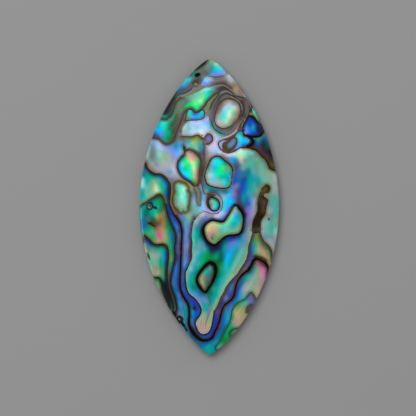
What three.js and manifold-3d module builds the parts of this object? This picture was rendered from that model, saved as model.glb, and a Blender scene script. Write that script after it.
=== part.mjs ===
// A polished marquise cabochon cut from abalone shell: one solid piece of nacre with a low crown,
// a straight side and a flat ground back, which it lies on. It keeps the small pits left by
// boring worms and the nibbled stretch of rim that the polishing did not remove.
//
// Millimetres, +Z up. The origin is the middle of the flat back, +Y points to the blunter tip
// and +X to the stone's right as it is looked down on.

import * as THREE from 'three';
import { mergeVertices } from 'three/addons/utils/BufferGeometryUtils.js';
import Module from 'manifold-3d';

const wasm = await Module();
wasm.setup();

// Driving dimensions
const LENGTH = 42;
const WIDTH = 19.8;
const THICKNESS = 3.2;
const SIDE_HEIGHT = 1.5;
const BACK_BEVEL = 0.3;

// How full each quarter of the outline is: the half width falls off along the stone as
// (1 - t^2) to this power, where t runs from 0 at the waist to 1 at the tip.
const FULLNESS = { topRight: 0.77, topLeft: 0.8, bottomLeft: 0.87, bottomRight: 0.8 };

// How fast the crown rises from the rim: a low power gives a steep shoulder and a flat middle.
const CROWN_POWER = 0.55;

// Rings of the crown, as shares of the outline from the rim in to the middle
const CROWN_RINGS = [0.993, 0.98, 0.96, 0.93, 0.89, 0.83, 0.75, 0.65, 0.52, 0.37, 0.2, 0];
const SEGMENTS = 128;

// Pits in the polished face. Each is an ellipsoid centred on the crown's surface: its place,
// its two diameters across, its depth, and how far it is turned, in degrees.
const PITS = {
  wormHole: { x: -8.33, y: 0.2, across: 0.64, along: 0.84, depth: 0.42, turn: -8 },
  wormHoleChip: { x: -7.64, y: -0.1, across: 0.62, along: 0.36, depth: 0.22, turn: -30 },
  topHole: { x: -1.7, y: 18.72, across: 0.9, along: 0.6, depth: 0.36, turn: 18 },
  topHollow: { x: -1.98, y: 17.45, across: 0.84, along: 0.74, depth: 0.2, turn: 0 },
  rimHole: { x: -4.2, y: -15.95, across: 0.62, along: 0.74, depth: 0.4, turn: -35 },
  rimNibbleUpper: { x: -4.95, y: -15.1, across: 0.36, along: 0.86, depth: 0.3, turn: 32 },
  rimNibbleLower: { x: -3.66, y: -16.85, across: 0.32, along: 0.72, depth: 0.28, turn: 36 },
  rimNibbleTip: { x: -3.16, y: -17.7, across: 0.36, along: 0.6, depth: 0.3, turn: 36 },
};
const PIT_SEGMENTS = 14;
const PIT_BANDS = 8;

const NACRE = { color: 0x2f9c96, roughness: 0.16, metalness: 0.1 };

function fullnessAt(x, y) {
  if (y >= 0) return x >= 0 ? FULLNESS.topRight : FULLNESS.topLeft;
  return x >= 0 ? FULLNESS.bottomRight : FULLNESS.bottomLeft;
}

// The outline at an angle round the stone, as a point on the rim
function outlinePoint(angle) {
  const sideways = Math.cos(angle);
  const endways = Math.sin(angle);
  const halfWidth = (WIDTH / 2) * Math.abs(sideways) ** (2 * fullnessAt(sideways, endways));
  return new THREE.Vector2(Math.sign(sideways) * halfWidth, (LENGTH / 2) * endways);
}

// Height of the polished face above the back
function crownHeight(x, y) {
  const t = Math.min(1, Math.abs(y) / (LENGTH / 2));
  const halfWidth = (WIDTH / 2) * (1 - t * t) ** fullnessAt(x, y);
  const s = halfWidth > 0 ? Math.min(1, Math.abs(x) / halfWidth) : 0;
  const rise = ((1 - s * s) * (1 - t * t)) ** CROWN_POWER;
  return SIDE_HEIGHT + (THICKNESS - SIDE_HEIGHT) * rise;
}

// A closed three.js geometry as a solid that can be cut
function toSolid(geometry) {
  const bare = geometry.clone();
  bare.deleteAttribute('normal');
  bare.deleteAttribute('uv');
  const merged = mergeVertices(bare);
  const corners = [];
  for (let i = 0; i < merged.index.count; i += 3) {
    const [a, b, c] = [0, 1, 2].map((k) => merged.index.getX(i + k));
    if (a !== b && b !== c && c !== a) corners.push(a, b, c);
  }
  return new wasm.Manifold(new wasm.Mesh({
    numProp: 3,
    vertProperties: new Float32Array(merged.attributes.position.array),
    triVerts: new Uint32Array(corners),
  }));
}

function toGeometry(solid) {
  const cut = solid.getMesh();
  const geometry = new THREE.BufferGeometry();
  geometry.setAttribute('position', new THREE.BufferAttribute(cut.vertProperties, 3));
  geometry.setIndex(new THREE.BufferAttribute(cut.triVerts, 1));
  geometry.computeVertexNormals();
  return geometry;
}

// The blank is turned round, from the middle of the back out over the rim to the top of the
// crown, and then ground to the marquise outline and its crown.
function cutBlank() {
  const backRing = 1 - BACK_BEVEL / (WIDTH / 2);
  const profile = [
    new THREE.Vector2(0, 0),
    new THREE.Vector2(backRing, 0),
    new THREE.Vector2(1, BACK_BEVEL),
    new THREE.Vector2(1, SIDE_HEIGHT),
    ...CROWN_RINGS.map((ring) => new THREE.Vector2(ring, THICKNESS)),
  ];
  const blank = new THREE.LatheGeometry(profile, SEGMENTS);
  const place = blank.attributes.position;
  for (let i = 0; i < place.count; i += 1) {
    const ring = Math.hypot(place.getX(i), place.getZ(i));
    const angle = Math.round((Math.atan2(place.getX(i), place.getZ(i)) * SEGMENTS) / (2 * Math.PI));
    const rim = outlinePoint((angle * 2 * Math.PI) / SEGMENTS).multiplyScalar(ring);
    const height = place.getY(i) > SIDE_HEIGHT ? crownHeight(rim.x, rim.y) : place.getY(i);
    place.setXYZ(i, rim.x, rim.y, height);
  }
  return blank;
}

function pitTool({ x, y, across, along, depth, turn }) {
  const tool = new THREE.SphereGeometry(1, PIT_SEGMENTS, PIT_BANDS);
  tool.rotateX(Math.PI / 2);
  tool.scale(across / 2, along / 2, depth);
  tool.rotateZ(THREE.MathUtils.degToRad(turn));
  tool.translate(x, y, crownHeight(x, y));
  return tool;
}

function makeCabochon() {
  let solid = toSolid(cutBlank());
  for (const pit of Object.values(PITS)) {
    solid = solid.subtract(toSolid(pitTool(pit)));
  }
  const cabochon = new THREE.Mesh(toGeometry(solid), new THREE.MeshStandardMaterial(NACRE));
  cabochon.name = 'shell_cabochon';
  return cabochon;
}

const stone = new THREE.Group();
stone.add(makeCabochon());

export default stone;
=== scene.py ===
# Looks of a polished marquise cabochon cut from abalone shell: the stone's fine surface, the
# swirling nacre with its dark growth lines, and a plain studio round it.

import math

import bpy
import numpy as np
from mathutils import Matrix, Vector


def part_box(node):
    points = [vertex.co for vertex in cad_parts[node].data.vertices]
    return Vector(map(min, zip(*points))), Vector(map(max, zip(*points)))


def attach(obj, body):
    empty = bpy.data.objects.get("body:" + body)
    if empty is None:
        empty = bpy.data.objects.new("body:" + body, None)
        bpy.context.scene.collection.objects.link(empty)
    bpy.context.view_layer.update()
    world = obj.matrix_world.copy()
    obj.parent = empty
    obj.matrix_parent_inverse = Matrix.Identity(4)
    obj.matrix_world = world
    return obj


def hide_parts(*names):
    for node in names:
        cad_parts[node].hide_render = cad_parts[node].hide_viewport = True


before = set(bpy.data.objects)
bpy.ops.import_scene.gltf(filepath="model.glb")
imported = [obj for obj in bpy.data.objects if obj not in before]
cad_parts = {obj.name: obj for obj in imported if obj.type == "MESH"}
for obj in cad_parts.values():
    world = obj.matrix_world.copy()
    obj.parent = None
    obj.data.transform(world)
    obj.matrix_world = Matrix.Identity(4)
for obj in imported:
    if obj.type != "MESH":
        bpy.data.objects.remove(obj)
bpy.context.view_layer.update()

MM = 0.001

# Sizes of the cut stone in millimetres, from the frame and from how it was ground
low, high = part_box("shell_cabochon")
WIDTH = (high[0] - low[0]) / MM
LENGTH = (high[1] - low[1]) / MM
THICKNESS = (high[2] - low[2]) / MM
SIDE_HEIGHT = 1.5
BACK_BEVEL = 0.3
CROWN_POWER = 0.55
FULLNESS = {"top right": 0.77, "top left": 0.80, "bottom left": 0.87, "bottom right": 0.80}
POLE_HEIGHT = 0.9

# Pits in the polished face: place, widths across and along, depth, and turn in degrees
PITS = [
    (-8.33, 0.20, 0.64, 0.84, 0.42, -8),
    (-7.64, -0.10, 0.62, 0.36, 0.22, -30),
    (-1.70, 18.72, 0.90, 0.60, 0.36, 18),
    (-1.98, 17.45, 0.84, 0.74, 0.20, 0),
    (-4.20, -15.95, 0.62, 0.74, 0.40, -35),
    (-4.95, -15.10, 0.36, 0.86, 0.30, 32),
    (-3.66, -16.85, 0.32, 0.72, 0.28, 36),
    (-3.16, -17.70, 0.36, 0.60, 0.30, 36),
]

# How finely the stone is meshed: steps across the face, down each side, round each back
# bevel and across the back, and rows from tip to tip
FACE_STEPS = 176
SIDE_STEPS = 5
BEVEL_STEPS = 2
BACK_STEPS = 72
ROWS = 372

# How evenly the steps across the face and the rows are spaced: 1 is even, and less draws them
# together towards the ends. Facets that meet at less than the angle are shaded as one surface
FACE_EVENNESS = 0.72
ROW_EVENNESS = 0.85
SMOOTH_ANGLE = math.radians(38)

# The sheet that the pattern is worked out on: its cells and its margin in millimetres, how far
# a touch of colour reaches, its full-strength size, how fast it falls off beyond that, and how
# much further it reaches along the grain than across it
CELL = 0.1
MARGIN = 0.6
REACH = 3.0
TOUCH_SIZE = 0.28
FALLOFF = 3.5
STRETCH = 2.2

# How near to a growth line a cell counts as part of it, the cost of a step onto one, the
# distance of what a touch hasn't reached, how many sweeps it takes for each cell of reach, the
# least weight that counts as colour, and the most rounds that close the gaps left between
WALL_REACH = 0.8 * CELL
WALL_COST = 9.0
UNREACHED = 99.0
SWEEPS = 1.5
LEAST_WEIGHT = 1e-6
GAP_ROUNDS = 60

# Keeps a division from being by nought, and a reading of the sheet inside its last cell
TINY = 1e-9
INSET = 0.001

# The sizes over which the run of the layers is averaged, how often the colours are blended with
# their neighbours, and how many cells each way a streak runs
GRAIN_SIZES = (0.35, 1.0, 2.5)
SOFTENING = 6
STREAK_CELLS = 14
STREAK_SEED = 7

# How strong a grey stays, and how much stronger the most vivid colour is made
DULLEST = 0.95
LIVELY = 0.27

# How far from a line its sides are worked out, how many steps of it at a time, what a place
# without a line has instead, and the most that is kept; how wide a fringe is, and how strong a
# named fringe and a plain shade are
LINE_REACH = 0.9
LINE_STEPS = 12
NO_LINE = 9.0
LINE_LIMIT = 4
FRINGE_WIDTH = 0.26
FRINGE_STRENGTH = 0.7
SHADE_STRENGTH = 0.38

# The faint layers beside a line: how strong and how far apart they are, and how soon they fade
ECHO = 0.08
LAYER_STEP = 0.36
ECHO_FADE = 0.6

# How sharp the edge of a spot is
SPOT_EDGE = 5

# How the layers lean under the face, for each millimetre of depth: how much they draw in, how far
# they sway, and how far they slide along the stone
DRAW_IN_ACROSS = 0.055
DRAW_IN_ALONG = 0.018
SWAY_ACROSS = 0.45
SWAY_ALONG = 0.35
SLIDE = 0.3

# The sawn surface starts this far below the face's rim and is at its dullest this much lower,
# and it holds dust of this colour
SAWN_START = 0.1
SAWN_FADE = 0.5
SAWN_DUST = (0.42, 0.43, 0.40, 1.0)

# Colours of the nacre, as they look (sRGB)
COLOURS = {
    "black": (0.04, 0.04, 0.04),
    "umber": (0.16, 0.11, 0.06),
    "brown": (0.32, 0.22, 0.08),
    "chestnut": (0.42, 0.28, 0.20),
    "dark_olive": (0.20, 0.19, 0.07),
    "olive": (0.38, 0.36, 0.14),
    "ochre": (0.56, 0.50, 0.14),
    "moss": (0.12, 0.32, 0.16),
    "bottle": (0.00, 0.36, 0.28),
    "plum": (0.28, 0.17, 0.27),
    "mauve": (0.42, 0.32, 0.39),
    "taupe": (0.46, 0.40, 0.38),
    "ash": (0.36, 0.36, 0.35),
    "pewter": (0.42, 0.46, 0.48),
    "silver": (0.60, 0.65, 0.63),
    "pearl": (0.74, 0.80, 0.80),
    "chalk": (0.86, 0.93, 0.92),
    "navy": (0.12, 0.14, 0.36),
    "indigo": (0.20, 0.20, 0.60),
    "royal": (0.10, 0.18, 0.70),
    "cobalt": (0.04, 0.35, 0.68),
    "denim": (0.25, 0.40, 0.60),
    "steel": (0.36, 0.54, 0.70),
    "azure": (0.06, 0.66, 0.95),
    "sky": (0.34, 0.70, 0.96),
    "periwinkle": (0.48, 0.56, 0.92),
    "slate": (0.40, 0.44, 0.74),
    "violet": (0.48, 0.42, 0.78),
    "lilac": (0.65, 0.66, 0.92),
    "lavender": (0.75, 0.74, 0.88),
    "blush": (0.84, 0.74, 0.86),
    "ice": (0.66, 0.82, 0.93),
    "mist": (0.50, 0.70, 0.80),
    "cyan": (0.02, 0.84, 0.90),
    "lagoon": (0.02, 0.68, 0.80),
    "teal": (0.00, 0.58, 0.58),
    "petrol": (0.06, 0.42, 0.52),
    "seafoam": (0.30, 0.66, 0.60),
    "verdigris": (0.42, 0.68, 0.60),
    "aqua": (0.38, 0.86, 0.84),
    "turquoise": (0.00, 0.83, 0.72),
    "mint": (0.45, 0.88, 0.74),
    "frost": (0.72, 0.97, 0.86),
    "emerald": (0.00, 0.83, 0.48),
    "jade": (0.00, 0.62, 0.42),
    "leaf": (0.04, 0.52, 0.20),
    "fern": (0.32, 0.60, 0.34),
    "sage": (0.52, 0.65, 0.52),
    "lime": (0.56, 0.90, 0.48),
    "straw": (0.84, 0.91, 0.66),
    "khaki": (0.64, 0.62, 0.42),
    "sand": (0.72, 0.63, 0.48),
    "apricot": (0.94, 0.64, 0.52),
    "salmon": (0.76, 0.47, 0.40),
    "rose": (0.77, 0.38, 0.46),
    "pink": (0.69, 0.53, 0.56),
    "orchid": (0.80, 0.48, 0.70),
    "magenta": (0.60, 0.26, 0.52),
    "soot": (0.10, 0.12, 0.11),
    "charcoal": (0.21, 0.21, 0.21),
    "sepia": (0.25, 0.21, 0.17),
    "cocoa": (0.35, 0.29, 0.26),
    "dusk": (0.34, 0.30, 0.33),
    "flint": (0.34, 0.40, 0.43),
    "stone": (0.46, 0.45, 0.41),
    "fawn": (0.60, 0.54, 0.48),
    "bronze": (0.48, 0.37, 0.25),
    "drab": (0.42, 0.43, 0.28),
    "pine": (0.14, 0.26, 0.21),
    "spruce": (0.22, 0.38, 0.30),
    "lichen": (0.40, 0.48, 0.37),
    "russet": (0.34, 0.15, 0.12),
    "ink": (0.08, 0.09, 0.22),
    "grape": (0.40, 0.28, 0.33),
    "oatmeal": (0.69, 0.65, 0.58),
    "khaki_grey": (0.48, 0.48, 0.37),
    "foam": (0.63, 0.86, 0.84),
    "cornflower": (0.30, 0.53, 0.86),
    "cerulean": (0.18, 0.60, 0.80),
    "haze": (0.58, 0.60, 0.70),
    "heather": (0.54, 0.48, 0.66),
    "cream": (0.86, 0.82, 0.70),
    "peach": (0.93, 0.74, 0.60),
    "walnut": (0.30, 0.19, 0.12),
    "sea_grey": (0.38, 0.56, 0.54),
}

# Growth lines, and one band of painted shade along the upper left rim: name, tone, half width,
# whether the line closes on itself, its points (an optional third number is the half width there),
# and the colours that fringe it on its left and on its right
SEAMS = [
    ("upper left seam", "sepia", 0.12, False, [
        (-8.3, 10.1, 0.2), (-7.9, 9.85, 0.2), (-7.5, 9.75, 0.16), (-7.15, 9.65, 0.13), (-6.8, 9.35),
        (-6.5, 9.05, 0.13), (-6.15, 8.9, 0.14), (-5.6, 9.0, 0.13), (-5.1, 9.4, 0.15), (-4.85, 9.9, 0.15),
        (-4.72, 10.4), (-4.5, 10.95), (-4.25, 11.5), (-4.0, 12.05), (-3.8, 12.6), (-3.65, 13.1),
        (-3.4, 13.5), (-3.05, 13.8), (-2.7, 13.92), (-2.4, 13.85), (-2.1, 13.55), (-1.85, 13.5),
        (-1.5, 13.55), (-1.0, 14.0), (-0.6, 14.35), (-0.3, 14.85), (0.1, 15.3), (0.5, 15.7), (0.9, 16.0),
        (1.25, 16.15, 0.06)], ("cocoa", "cocoa")),
    ("left shoulder line", "sepia", 0.09, False, [
        (-7.1, 12.6), (-6.6, 12.4), (-6.3, 12.35), (-6.0, 12.4), (-5.75, 12.6), (-5.45, 12.9, 0.14),
        (-5.2, 13.3), (-5.0, 13.8), (-4.9, 14.3), (-4.7, 14.8), (-4.4, 15.15), (-4.0, 15.4),
        (-3.6, 15.55, 0.05)], ("pine", "spruce")),
    ("left shoulder fine line", "charcoal", 0.08, False, [
        (-6.7, 13.15), (-6.3, 13.08), (-5.95, 13.15), (-5.6, 13.55), (-5.35, 14.1), (-5.15, 14.7),
        (-4.85, 15.2), (-4.6, 15.55)], None),
    # A band of soot along the upper left rim: painted shade at the stone's edge, laid in as if it were a
    # growth line
    ("left rim painted shade", "soot", 0.12, False, [
        (-6.6, 13.3, 0.12), (-6.3, 13.75, 0.2), (-5.95, 14.4, 0.16), (-5.6, 14.95, 0.15),
        (-5.2, 15.6, 0.12), (-4.75, 16.2, 0.08)], None),
    ("upper shoulder line", "charcoal", 0.09, False, [
        (-4.75, 15.3), (-4.45, 15.75), (-4.1, 15.98), (-3.8, 16.05), (-3.3, 16.2), (-2.9, 16.4),
        (-2.6, 16.65), (-2.35, 16.9)], ("dusk", "pewter")),
    ("flame edge", "drab", 0.14, False, [
        (-3.9, 15.5, 0.05), (-3.1, 15.82), (-2.6, 16.0), (-2.1, 16.25), (-1.5, 16.5, 0.16),
        (-1.1, 16.75, 0.14), (-0.6, 16.92, 0.08), (0.1, 17.0, 0.07), (0.9, 17.05, 0.04)], None),
    ("tip rim", "soot", 0.15, False, [
        (-0.2, 20.85, 0.06), (-0.5, 20.6, 0.15), (-0.9, 20.25, 0.18), (-1.3, 19.95, 0.15),
        (-1.8, 19.55, 0.12), (-2.05, 19.4, 0.06)], None),
    ("tip seam", "cocoa", 0.11, False, [
        (0.0, 18.5, 0.06), (0.6, 18.42), (1.1, 18.38), (1.7, 18.5), (2.15, 18.62, 0.06)], None),
    ("top pale ring", "taupe", 0.08, False, [
        (0.7, 17.08, 0.04), (1.2, 17.15), (1.7, 17.22), (2.1, 17.22), (2.45, 17.05), (2.75, 16.85),
        (3.0, 16.55, 0.04)], None),
    ("top dark ring", "sepia", 0.1, False, [
        (0.5, 17.33, 0.04), (1.1, 17.42), (1.6, 17.46), (2.1, 17.4), (2.5, 17.22), (2.9, 16.95),
        (3.15, 16.7, 0.04)], None),
    ("second top ring", "charcoal", 0.11, False, [
        (1.2, 16.6, 0.05), (1.7, 16.95), (2.2, 16.9), (2.6, 16.75), (2.9, 16.5, 0.05)], None),
    ("third top ring", "sepia", 0.11, False, [
        (1.15, 16.1), (1.6, 16.45), (2.0, 16.62), (2.4, 16.63), (2.8, 16.5), (3.1, 16.3),
        (3.45, 16.0)], None),
    ("grey top ring", "pewter", 0.06, False, [
        (1.5, 16.1, 0.03), (1.9, 16.32), (2.4, 16.4), (2.8, 16.25), (3.1, 16.05, 0.03)], None),
    ("crown ring", "charcoal", 0.12, False, [
        (0.72, 13.9, 0.06), (0.85, 14.5, 0.06), (1.1, 15.0, 0.08), (1.4, 15.45), (1.75, 15.8),
        (2.1, 16.02), (2.5, 16.1), (2.9, 15.95), (3.3, 15.75), (3.8, 15.7), (4.4, 15.58),
        (4.9, 15.5, 0.12), (5.25, 15.25, 0.12), (5.5, 14.8, 0.12), (5.75, 14.3, 0.14), (5.8, 13.8, 0.14),
        (5.65, 13.3, 0.1), (5.55, 12.95)], ("stone", "cocoa")),
    ("rim black", "soot", 0.13, False, [
        (5.9, 14.85, 0.07), (6.0, 14.5), (6.03, 14.1), (5.95, 13.7), (5.85, 13.45, 0.06)], None),
    ("pale crown streak", "stone", 0.07, False, [
        (2.9, 15.75, 0.03), (3.3, 15.5), (3.7, 15.3), (4.1, 15.05), (4.4, 14.75), (4.62, 14.3),
        (4.65, 13.8, 0.03)], None),
    ("olive arc", "drab", 0.13, False, [
        (-0.45, 13.6, 0.05), (-0.25, 14.2), (0.05, 14.75), (0.4, 15.2), (0.75, 15.6),
        (1.1, 15.9, 0.06)], None),
    ("left arc", "charcoal", 0.09, False, [
        (0.1, 13.9), (0.3, 14.5), (0.65, 15.1), (1.05, 15.6), (1.4, 15.95)], None),
    ("left plum arc", "dusk", 0.1, False, [
        (0.45, 12.3, 0.05), (0.45, 13.0), (0.5, 13.7), (0.7, 14.4), (1.0, 14.85, 0.05)], None),
    ("right inner ring", "charcoal", 0.1, False, [
        (3.1, 15.72, 0.05), (3.6, 15.5), (4.0, 15.25), (4.35, 14.9), (4.62, 14.5), (4.8, 14.0),
        (4.87, 13.5), (4.83, 13.0), (4.68, 12.5, 0.07), (4.5, 12.05, 0.04)], None),
    ("right outer ring", "sepia", 0.07, False, [
        (5.25, 13.4, 0.04), (5.05, 12.75), (4.85, 12.2), (4.55, 11.65), (4.3, 11.25),
        (4.0, 10.9, 0.04)], None),
    ("right arc", "charcoal", 0.12, False, [
        (4.4, 15.05, 0.05), (4.7, 14.6), (4.9, 14.1), (4.88, 13.6), (4.7, 13.1),
        (4.45, 12.7, 0.05)], None),
    ("right plum arc", "grape", 0.08, False, [
        (5.1, 14.9, 0.04), (5.3, 14.5), (5.4, 14.0), (5.35, 13.5), (5.2, 13.2, 0.04)], None),
    ("lower pale arc", "taupe", 0.07, False, [
        (4.95, 12.9, 0.04), (4.7, 12.4), (4.45, 12.0), (4.2, 11.6), (4.0, 11.25, 0.04)], None),
    ("lower dark arc", "sepia", 0.11, False, [
        (5.0, 12.6, 0.04), (4.8, 12.2), (4.55, 11.8), (4.4, 11.45), (4.35, 11.1, 0.04)], None),
    ("lower olive arc", "khaki_grey", 0.06, False, [
        (5.1, 12.5, 0.03), (4.92, 12.15), (4.7, 11.75), (4.58, 11.4, 0.03)], None),
    ("pale hem", "oatmeal", 0.09, False, [
        (4.05, 11.25, 0.04), (3.8, 10.8), (3.5, 10.5), (3.2, 10.25), (2.8, 10.03), (2.4, 9.9),
        (2.0, 9.72), (1.65, 9.6, 0.05)], None),
    ("dark hem", "dusk", 0.09, False, [
        (4.4, 11.1, 0.05), (4.1, 10.85), (3.8, 10.55), (3.45, 10.25), (3.05, 10.0), (2.6, 9.78),
        (2.2, 9.6, 0.05)], None),
    ("oval left line", "charcoal", 0.09, False, [
        (0.25, 12.4, 0.05), (0.35, 11.8), (0.55, 11.3), (0.85, 10.9), (1.15, 10.68), (1.6, 10.4),
        (2.0, 10.25, 0.04)], ("petrol", None)),
    ("big oval", "sepia", 0.11, True, [
        (1.6, 14.75), (2.0, 15.12), (2.5, 15.3), (3.2, 15.25), (3.65, 15.08), (4.05, 14.8, 0.11),
        (4.3, 14.4, 0.11), (4.42, 13.9, 0.11), (4.38, 13.3, 0.1), (4.22, 12.75, 0.1), (3.95, 12.3, 0.08),
        (3.55, 11.85, 0.08), (3.1, 11.47, 0.1), (2.6, 11.2, 0.11), (2.0, 11.08, 0.11),
        (1.45, 11.22, 0.12), (1.05, 11.5, 0.12), (0.82, 11.95, 0.07), (0.8, 12.5, 0.07),
        (0.9, 13.2, 0.07), (1.05, 13.8, 0.08), (1.27, 14.3, 0.08)], None),
    ("blue lobe", "black", 0.14, True, [
        (5.0, 10.1), (4.83, 10.4, 0.1), (4.76, 10.9, 0.1), (4.8, 11.4, 0.1), (5.0, 11.9, 0.1),
        (5.28, 12.4, 0.1), (5.55, 12.85, 0.12), (5.9, 12.88, 0.15), (6.25, 12.68, 0.17),
        (6.55, 12.35, 0.17), (6.85, 11.98, 0.17), (7.15, 11.68, 0.17), (7.5, 11.42, 0.15),
        (7.72, 11.0, 0.12), (7.68, 10.6, 0.15), (7.45, 10.3, 0.16), (7.1, 10.05, 0.17), (6.7, 9.95, 0.17),
        (6.3, 9.93, 0.15), (5.9, 9.97, 0.15), (5.45, 10.05, 0.16)], ("olive", "navy")),
    ("main loop shoulder", "umber", 0.12, False, [
        (-9.3, 6.5, 0.1), (-9.0, 6.1, 0.14), (-8.85, 5.65), (-8.5, 5.2), (-8.05, 4.83, 0.15),
        (-7.5, 4.66), (-7.0, 4.66), (-6.65, 4.5, 0.14), (-6.35, 4.28, 0.14), (-6.05, 4.0, 0.14),
        (-5.8, 3.65), (-5.6, 3.2), (-5.5, 2.6), (-5.5, 2.1), (-5.6, 1.3), (-5.68, 0.7), (-5.5, 0.1),
        (-5.2, -0.6), (-4.85, -1.25)], ("bronze", "ink")),
    ("eye seam cap", "dark_olive", 0.11, False, [
        (-10.2, -0.15, 0.06), (-9.9, 0.08, 0.07), (-9.4, 0.42), (-9.0, 0.62), (-8.5, 0.98),
        (-8.0, 1.28, 0.13), (-7.55, 1.5, 0.2), (-7.1, 1.66, 0.28), (-6.75, 1.5, 0.22), (-6.45, 1.1, 0.14),
        (-6.28, 0.5)], ("olive", "pine")),
    ("eye seam side", "soot", 0.11, False, [
        (-6.28, 0.5), (-6.1, -0.1), (-5.95, -0.8), (-5.85, -1.2), (-5.7, -1.6), (-5.55, -2.0),
        (-5.35, -2.5), (-5.15, -2.9), (-5.0, -3.3), (-4.85, -3.7), (-4.75, -4.1), (-4.75, -4.5),
        (-4.8, -5.0), (-4.9, -5.6), (-4.9, -6.2), (-4.85, -6.8), (-4.9, -7.4), (-5.2, -8.8),
        (-5.5, -10.5), (-5.3, -11.7), (-4.9, -12.8), (-4.65, -14.0), (-4.7, -14.6),
        (-4.9, -15.3)], ("ink", "pine")),
    ("step seam", "umber", 0.12, False, [
        (-9.42, -4.9, 0.06), (-9.36, -4.4, 0.08), (-9.2, -4.02, 0.1), (-8.95, -4.2), (-8.7, -4.4),
        (-8.45, -4.6), (-8.25, -4.85), (-8.05, -5.1), (-7.8, -5.25, 0.13), (-7.4, -5.35, 0.14),
        (-7.0, -5.3, 0.14), (-6.6, -5.28, 0.16), (-6.3, -5.38, 0.14), (-6.05, -5.55), (-5.9, -5.85),
        (-5.8, -6.3), (-5.8, -6.9), (-5.82, -7.5), (-5.95, -8.9), (-5.95, -10.2), (-5.75, -11.4),
        (-5.4, -12.6), (-5.1, -13.8), (-5.1, -15.0), (-5.3, -15.8)], ("olive", "ink")),
    ("inner loop top", "cocoa", 0.08, False, [
        (1.5, -0.75, 0.04), (1.1, -0.92), (0.6, -0.95), (0.2, -0.9), (-0.3, -0.72), (-0.8, -0.68),
        (-1.2, -0.85), (-1.6, -1.2), (-1.95, -1.6)], None),
    ("hook line", "plum", 0.08, False, [
        (-1.15, 3.9), (-1.1, 3.3), (-0.95, 2.7), (-0.8, 2.2), (-0.65, 1.92), (-0.35, 1.86), (0.0, 2.0),
        (0.4, 2.1), (0.8, 2.0), (1.3, 1.65), (1.7, 1.25), (1.88, 0.7), (1.85, 0.2), (1.7, -0.3),
        (1.45, -0.7), (1.1, -0.92)], None),
    ("centre stripe", "cocoa", 0.09, False, [
        (-0.65, 9.0), (-0.62, 8.5), (-0.62, 8.0), (-0.65, 7.6), (-0.6, 7.1),
        (-0.58, 6.6, 0.05)], ("stone", "plum")),
    ("thin dark stripe", "sepia", 0.07, False, [
        (-0.78, 6.1, 0.04), (-0.82, 5.5), (-0.95, 4.9), (-1.0, 4.3, 0.04)], None),
    ("diamond tail", "drab", 0.18, False, [
        (-1.95, 2.75, 0.2), (-1.7, 2.4, 0.23), (-1.52, 1.9, 0.19), (-1.5, 1.3), (-1.5, 0.8),
        (-1.42, 0.4, 0.1)], ("sepia", "sepia")),
    ("pale cell seam", "brown", 0.11, False, [
        (-3.95, 10.0), (-3.5, 9.95), (-3.0, 9.95), (-2.4, 9.95), (-2.0, 10.1), (-1.6, 10.15, 0.13),
        (-1.3, 9.95, 0.14), (-1.05, 9.7, 0.17), (-0.75, 9.62, 0.17)], ("khaki_grey", "olive")),
    ("violet spot ring", "brown", 0.14, False, [
        (-0.75, 9.6), (-0.62, 9.85), (-0.45, 10.08), (-0.2, 10.3), (0.05, 10.3), (0.3, 10.1),
        (0.45, 9.75), (0.4, 9.35), (0.2, 9.1), (-0.1, 8.92), (-0.4, 8.92)], None),
    ("lobe junction", "black", 0.2, False, [
        (5.6, 10.0), (5.95, 9.7), (6.2, 9.2), (5.75, 8.7), (5.4, 8.6)], None),
    ("dark corner edge", "umber", 0.12, False, [
        (4.2, 8.35, 0.06), (4.8, 8.42, 0.1), (5.5, 8.4), (6.1, 8.25, 0.16), (6.6, 8.05, 0.14), (6.9, 7.8),
        (7.2, 7.45), (7.5, 7.12), (7.9, 6.8), (8.2, 6.3), (8.4, 5.9), (8.6, 5.45), (9.0, 5.25),
        (9.5, 5.1)], ("sepia", "olive")),
    ("fan foot", "dark_olive", 0.2, False, [
        (-3.7, 8.72, 0.08), (-3.58, 8.5, 0.18), (-3.5, 8.2, 0.25), (-3.42, 7.95, 0.22),
        (-3.52, 7.65, 0.1)], None),
    ("diamond right side", "sepia", 0.13, False, [
        (-3.45, 7.9, 0.15), (-3.1, 8.05, 0.15), (-2.8, 8.08), (-2.4, 7.98, 0.14), (-2.05, 7.78, 0.16),
        (-1.75, 7.5, 0.18), (-1.45, 7.2, 0.19), (-1.25, 6.8, 0.15), (-1.18, 6.4, 0.13), (-1.2, 6.0),
        (-1.28, 5.5, 0.15), (-1.35, 5.0, 0.17), (-1.38, 4.5, 0.18), (-1.38, 4.0, 0.18),
        (-1.48, 3.5, 0.18), (-1.75, 3.05, 0.18), (-2.05, 2.93)], ("sepia", "olive")),
    ("diamond left side", "umber", 0.1, False, [
        (-2.05, 2.93), (-2.35, 3.1), (-2.75, 3.5), (-3.2, 3.8), (-3.65, 4.1), (-4.0, 4.45), (-4.3, 4.9),
        (-4.5, 5.4), (-4.55, 5.9), (-4.43, 6.4), (-4.2, 6.8), (-3.9, 7.15), (-3.65, 7.4),
        (-3.5, 7.7, 0.13)], ("bronze", "navy")),
    ("rounded square top", "umber", 0.11, False, [
        (-0.35, 5.46), (-0.2, 5.9), (-0.03, 6.3), (0.2, 6.74), (0.42, 6.95), (0.66, 7.1), (1.1, 7.2),
        (1.5, 7.1), (1.8, 6.9), (2.3, 6.5), (2.8, 6.15), (3.2, 5.6), (3.3, 5.1),
        (3.25, 4.5)], ("taupe", "spruce")),
    ("rounded square foot", "soot", 0.1, False, [
        (3.25, 4.5), (3.15, 4.0), (3.12, 3.5), (3.0, 3.08), (2.8, 2.8), (2.3, 2.65), (1.6, 2.65),
        (1.2, 2.72), (0.7, 2.8), (0.2, 2.95), (-0.2, 3.15), (-0.45, 3.5), (-0.58, 3.9), (-0.65, 4.3),
        (-0.58, 4.7), (-0.35, 5.46)], ("flint", "khaki_grey")),
    ("pearl patch", "olive", 0.09, True, [
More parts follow.
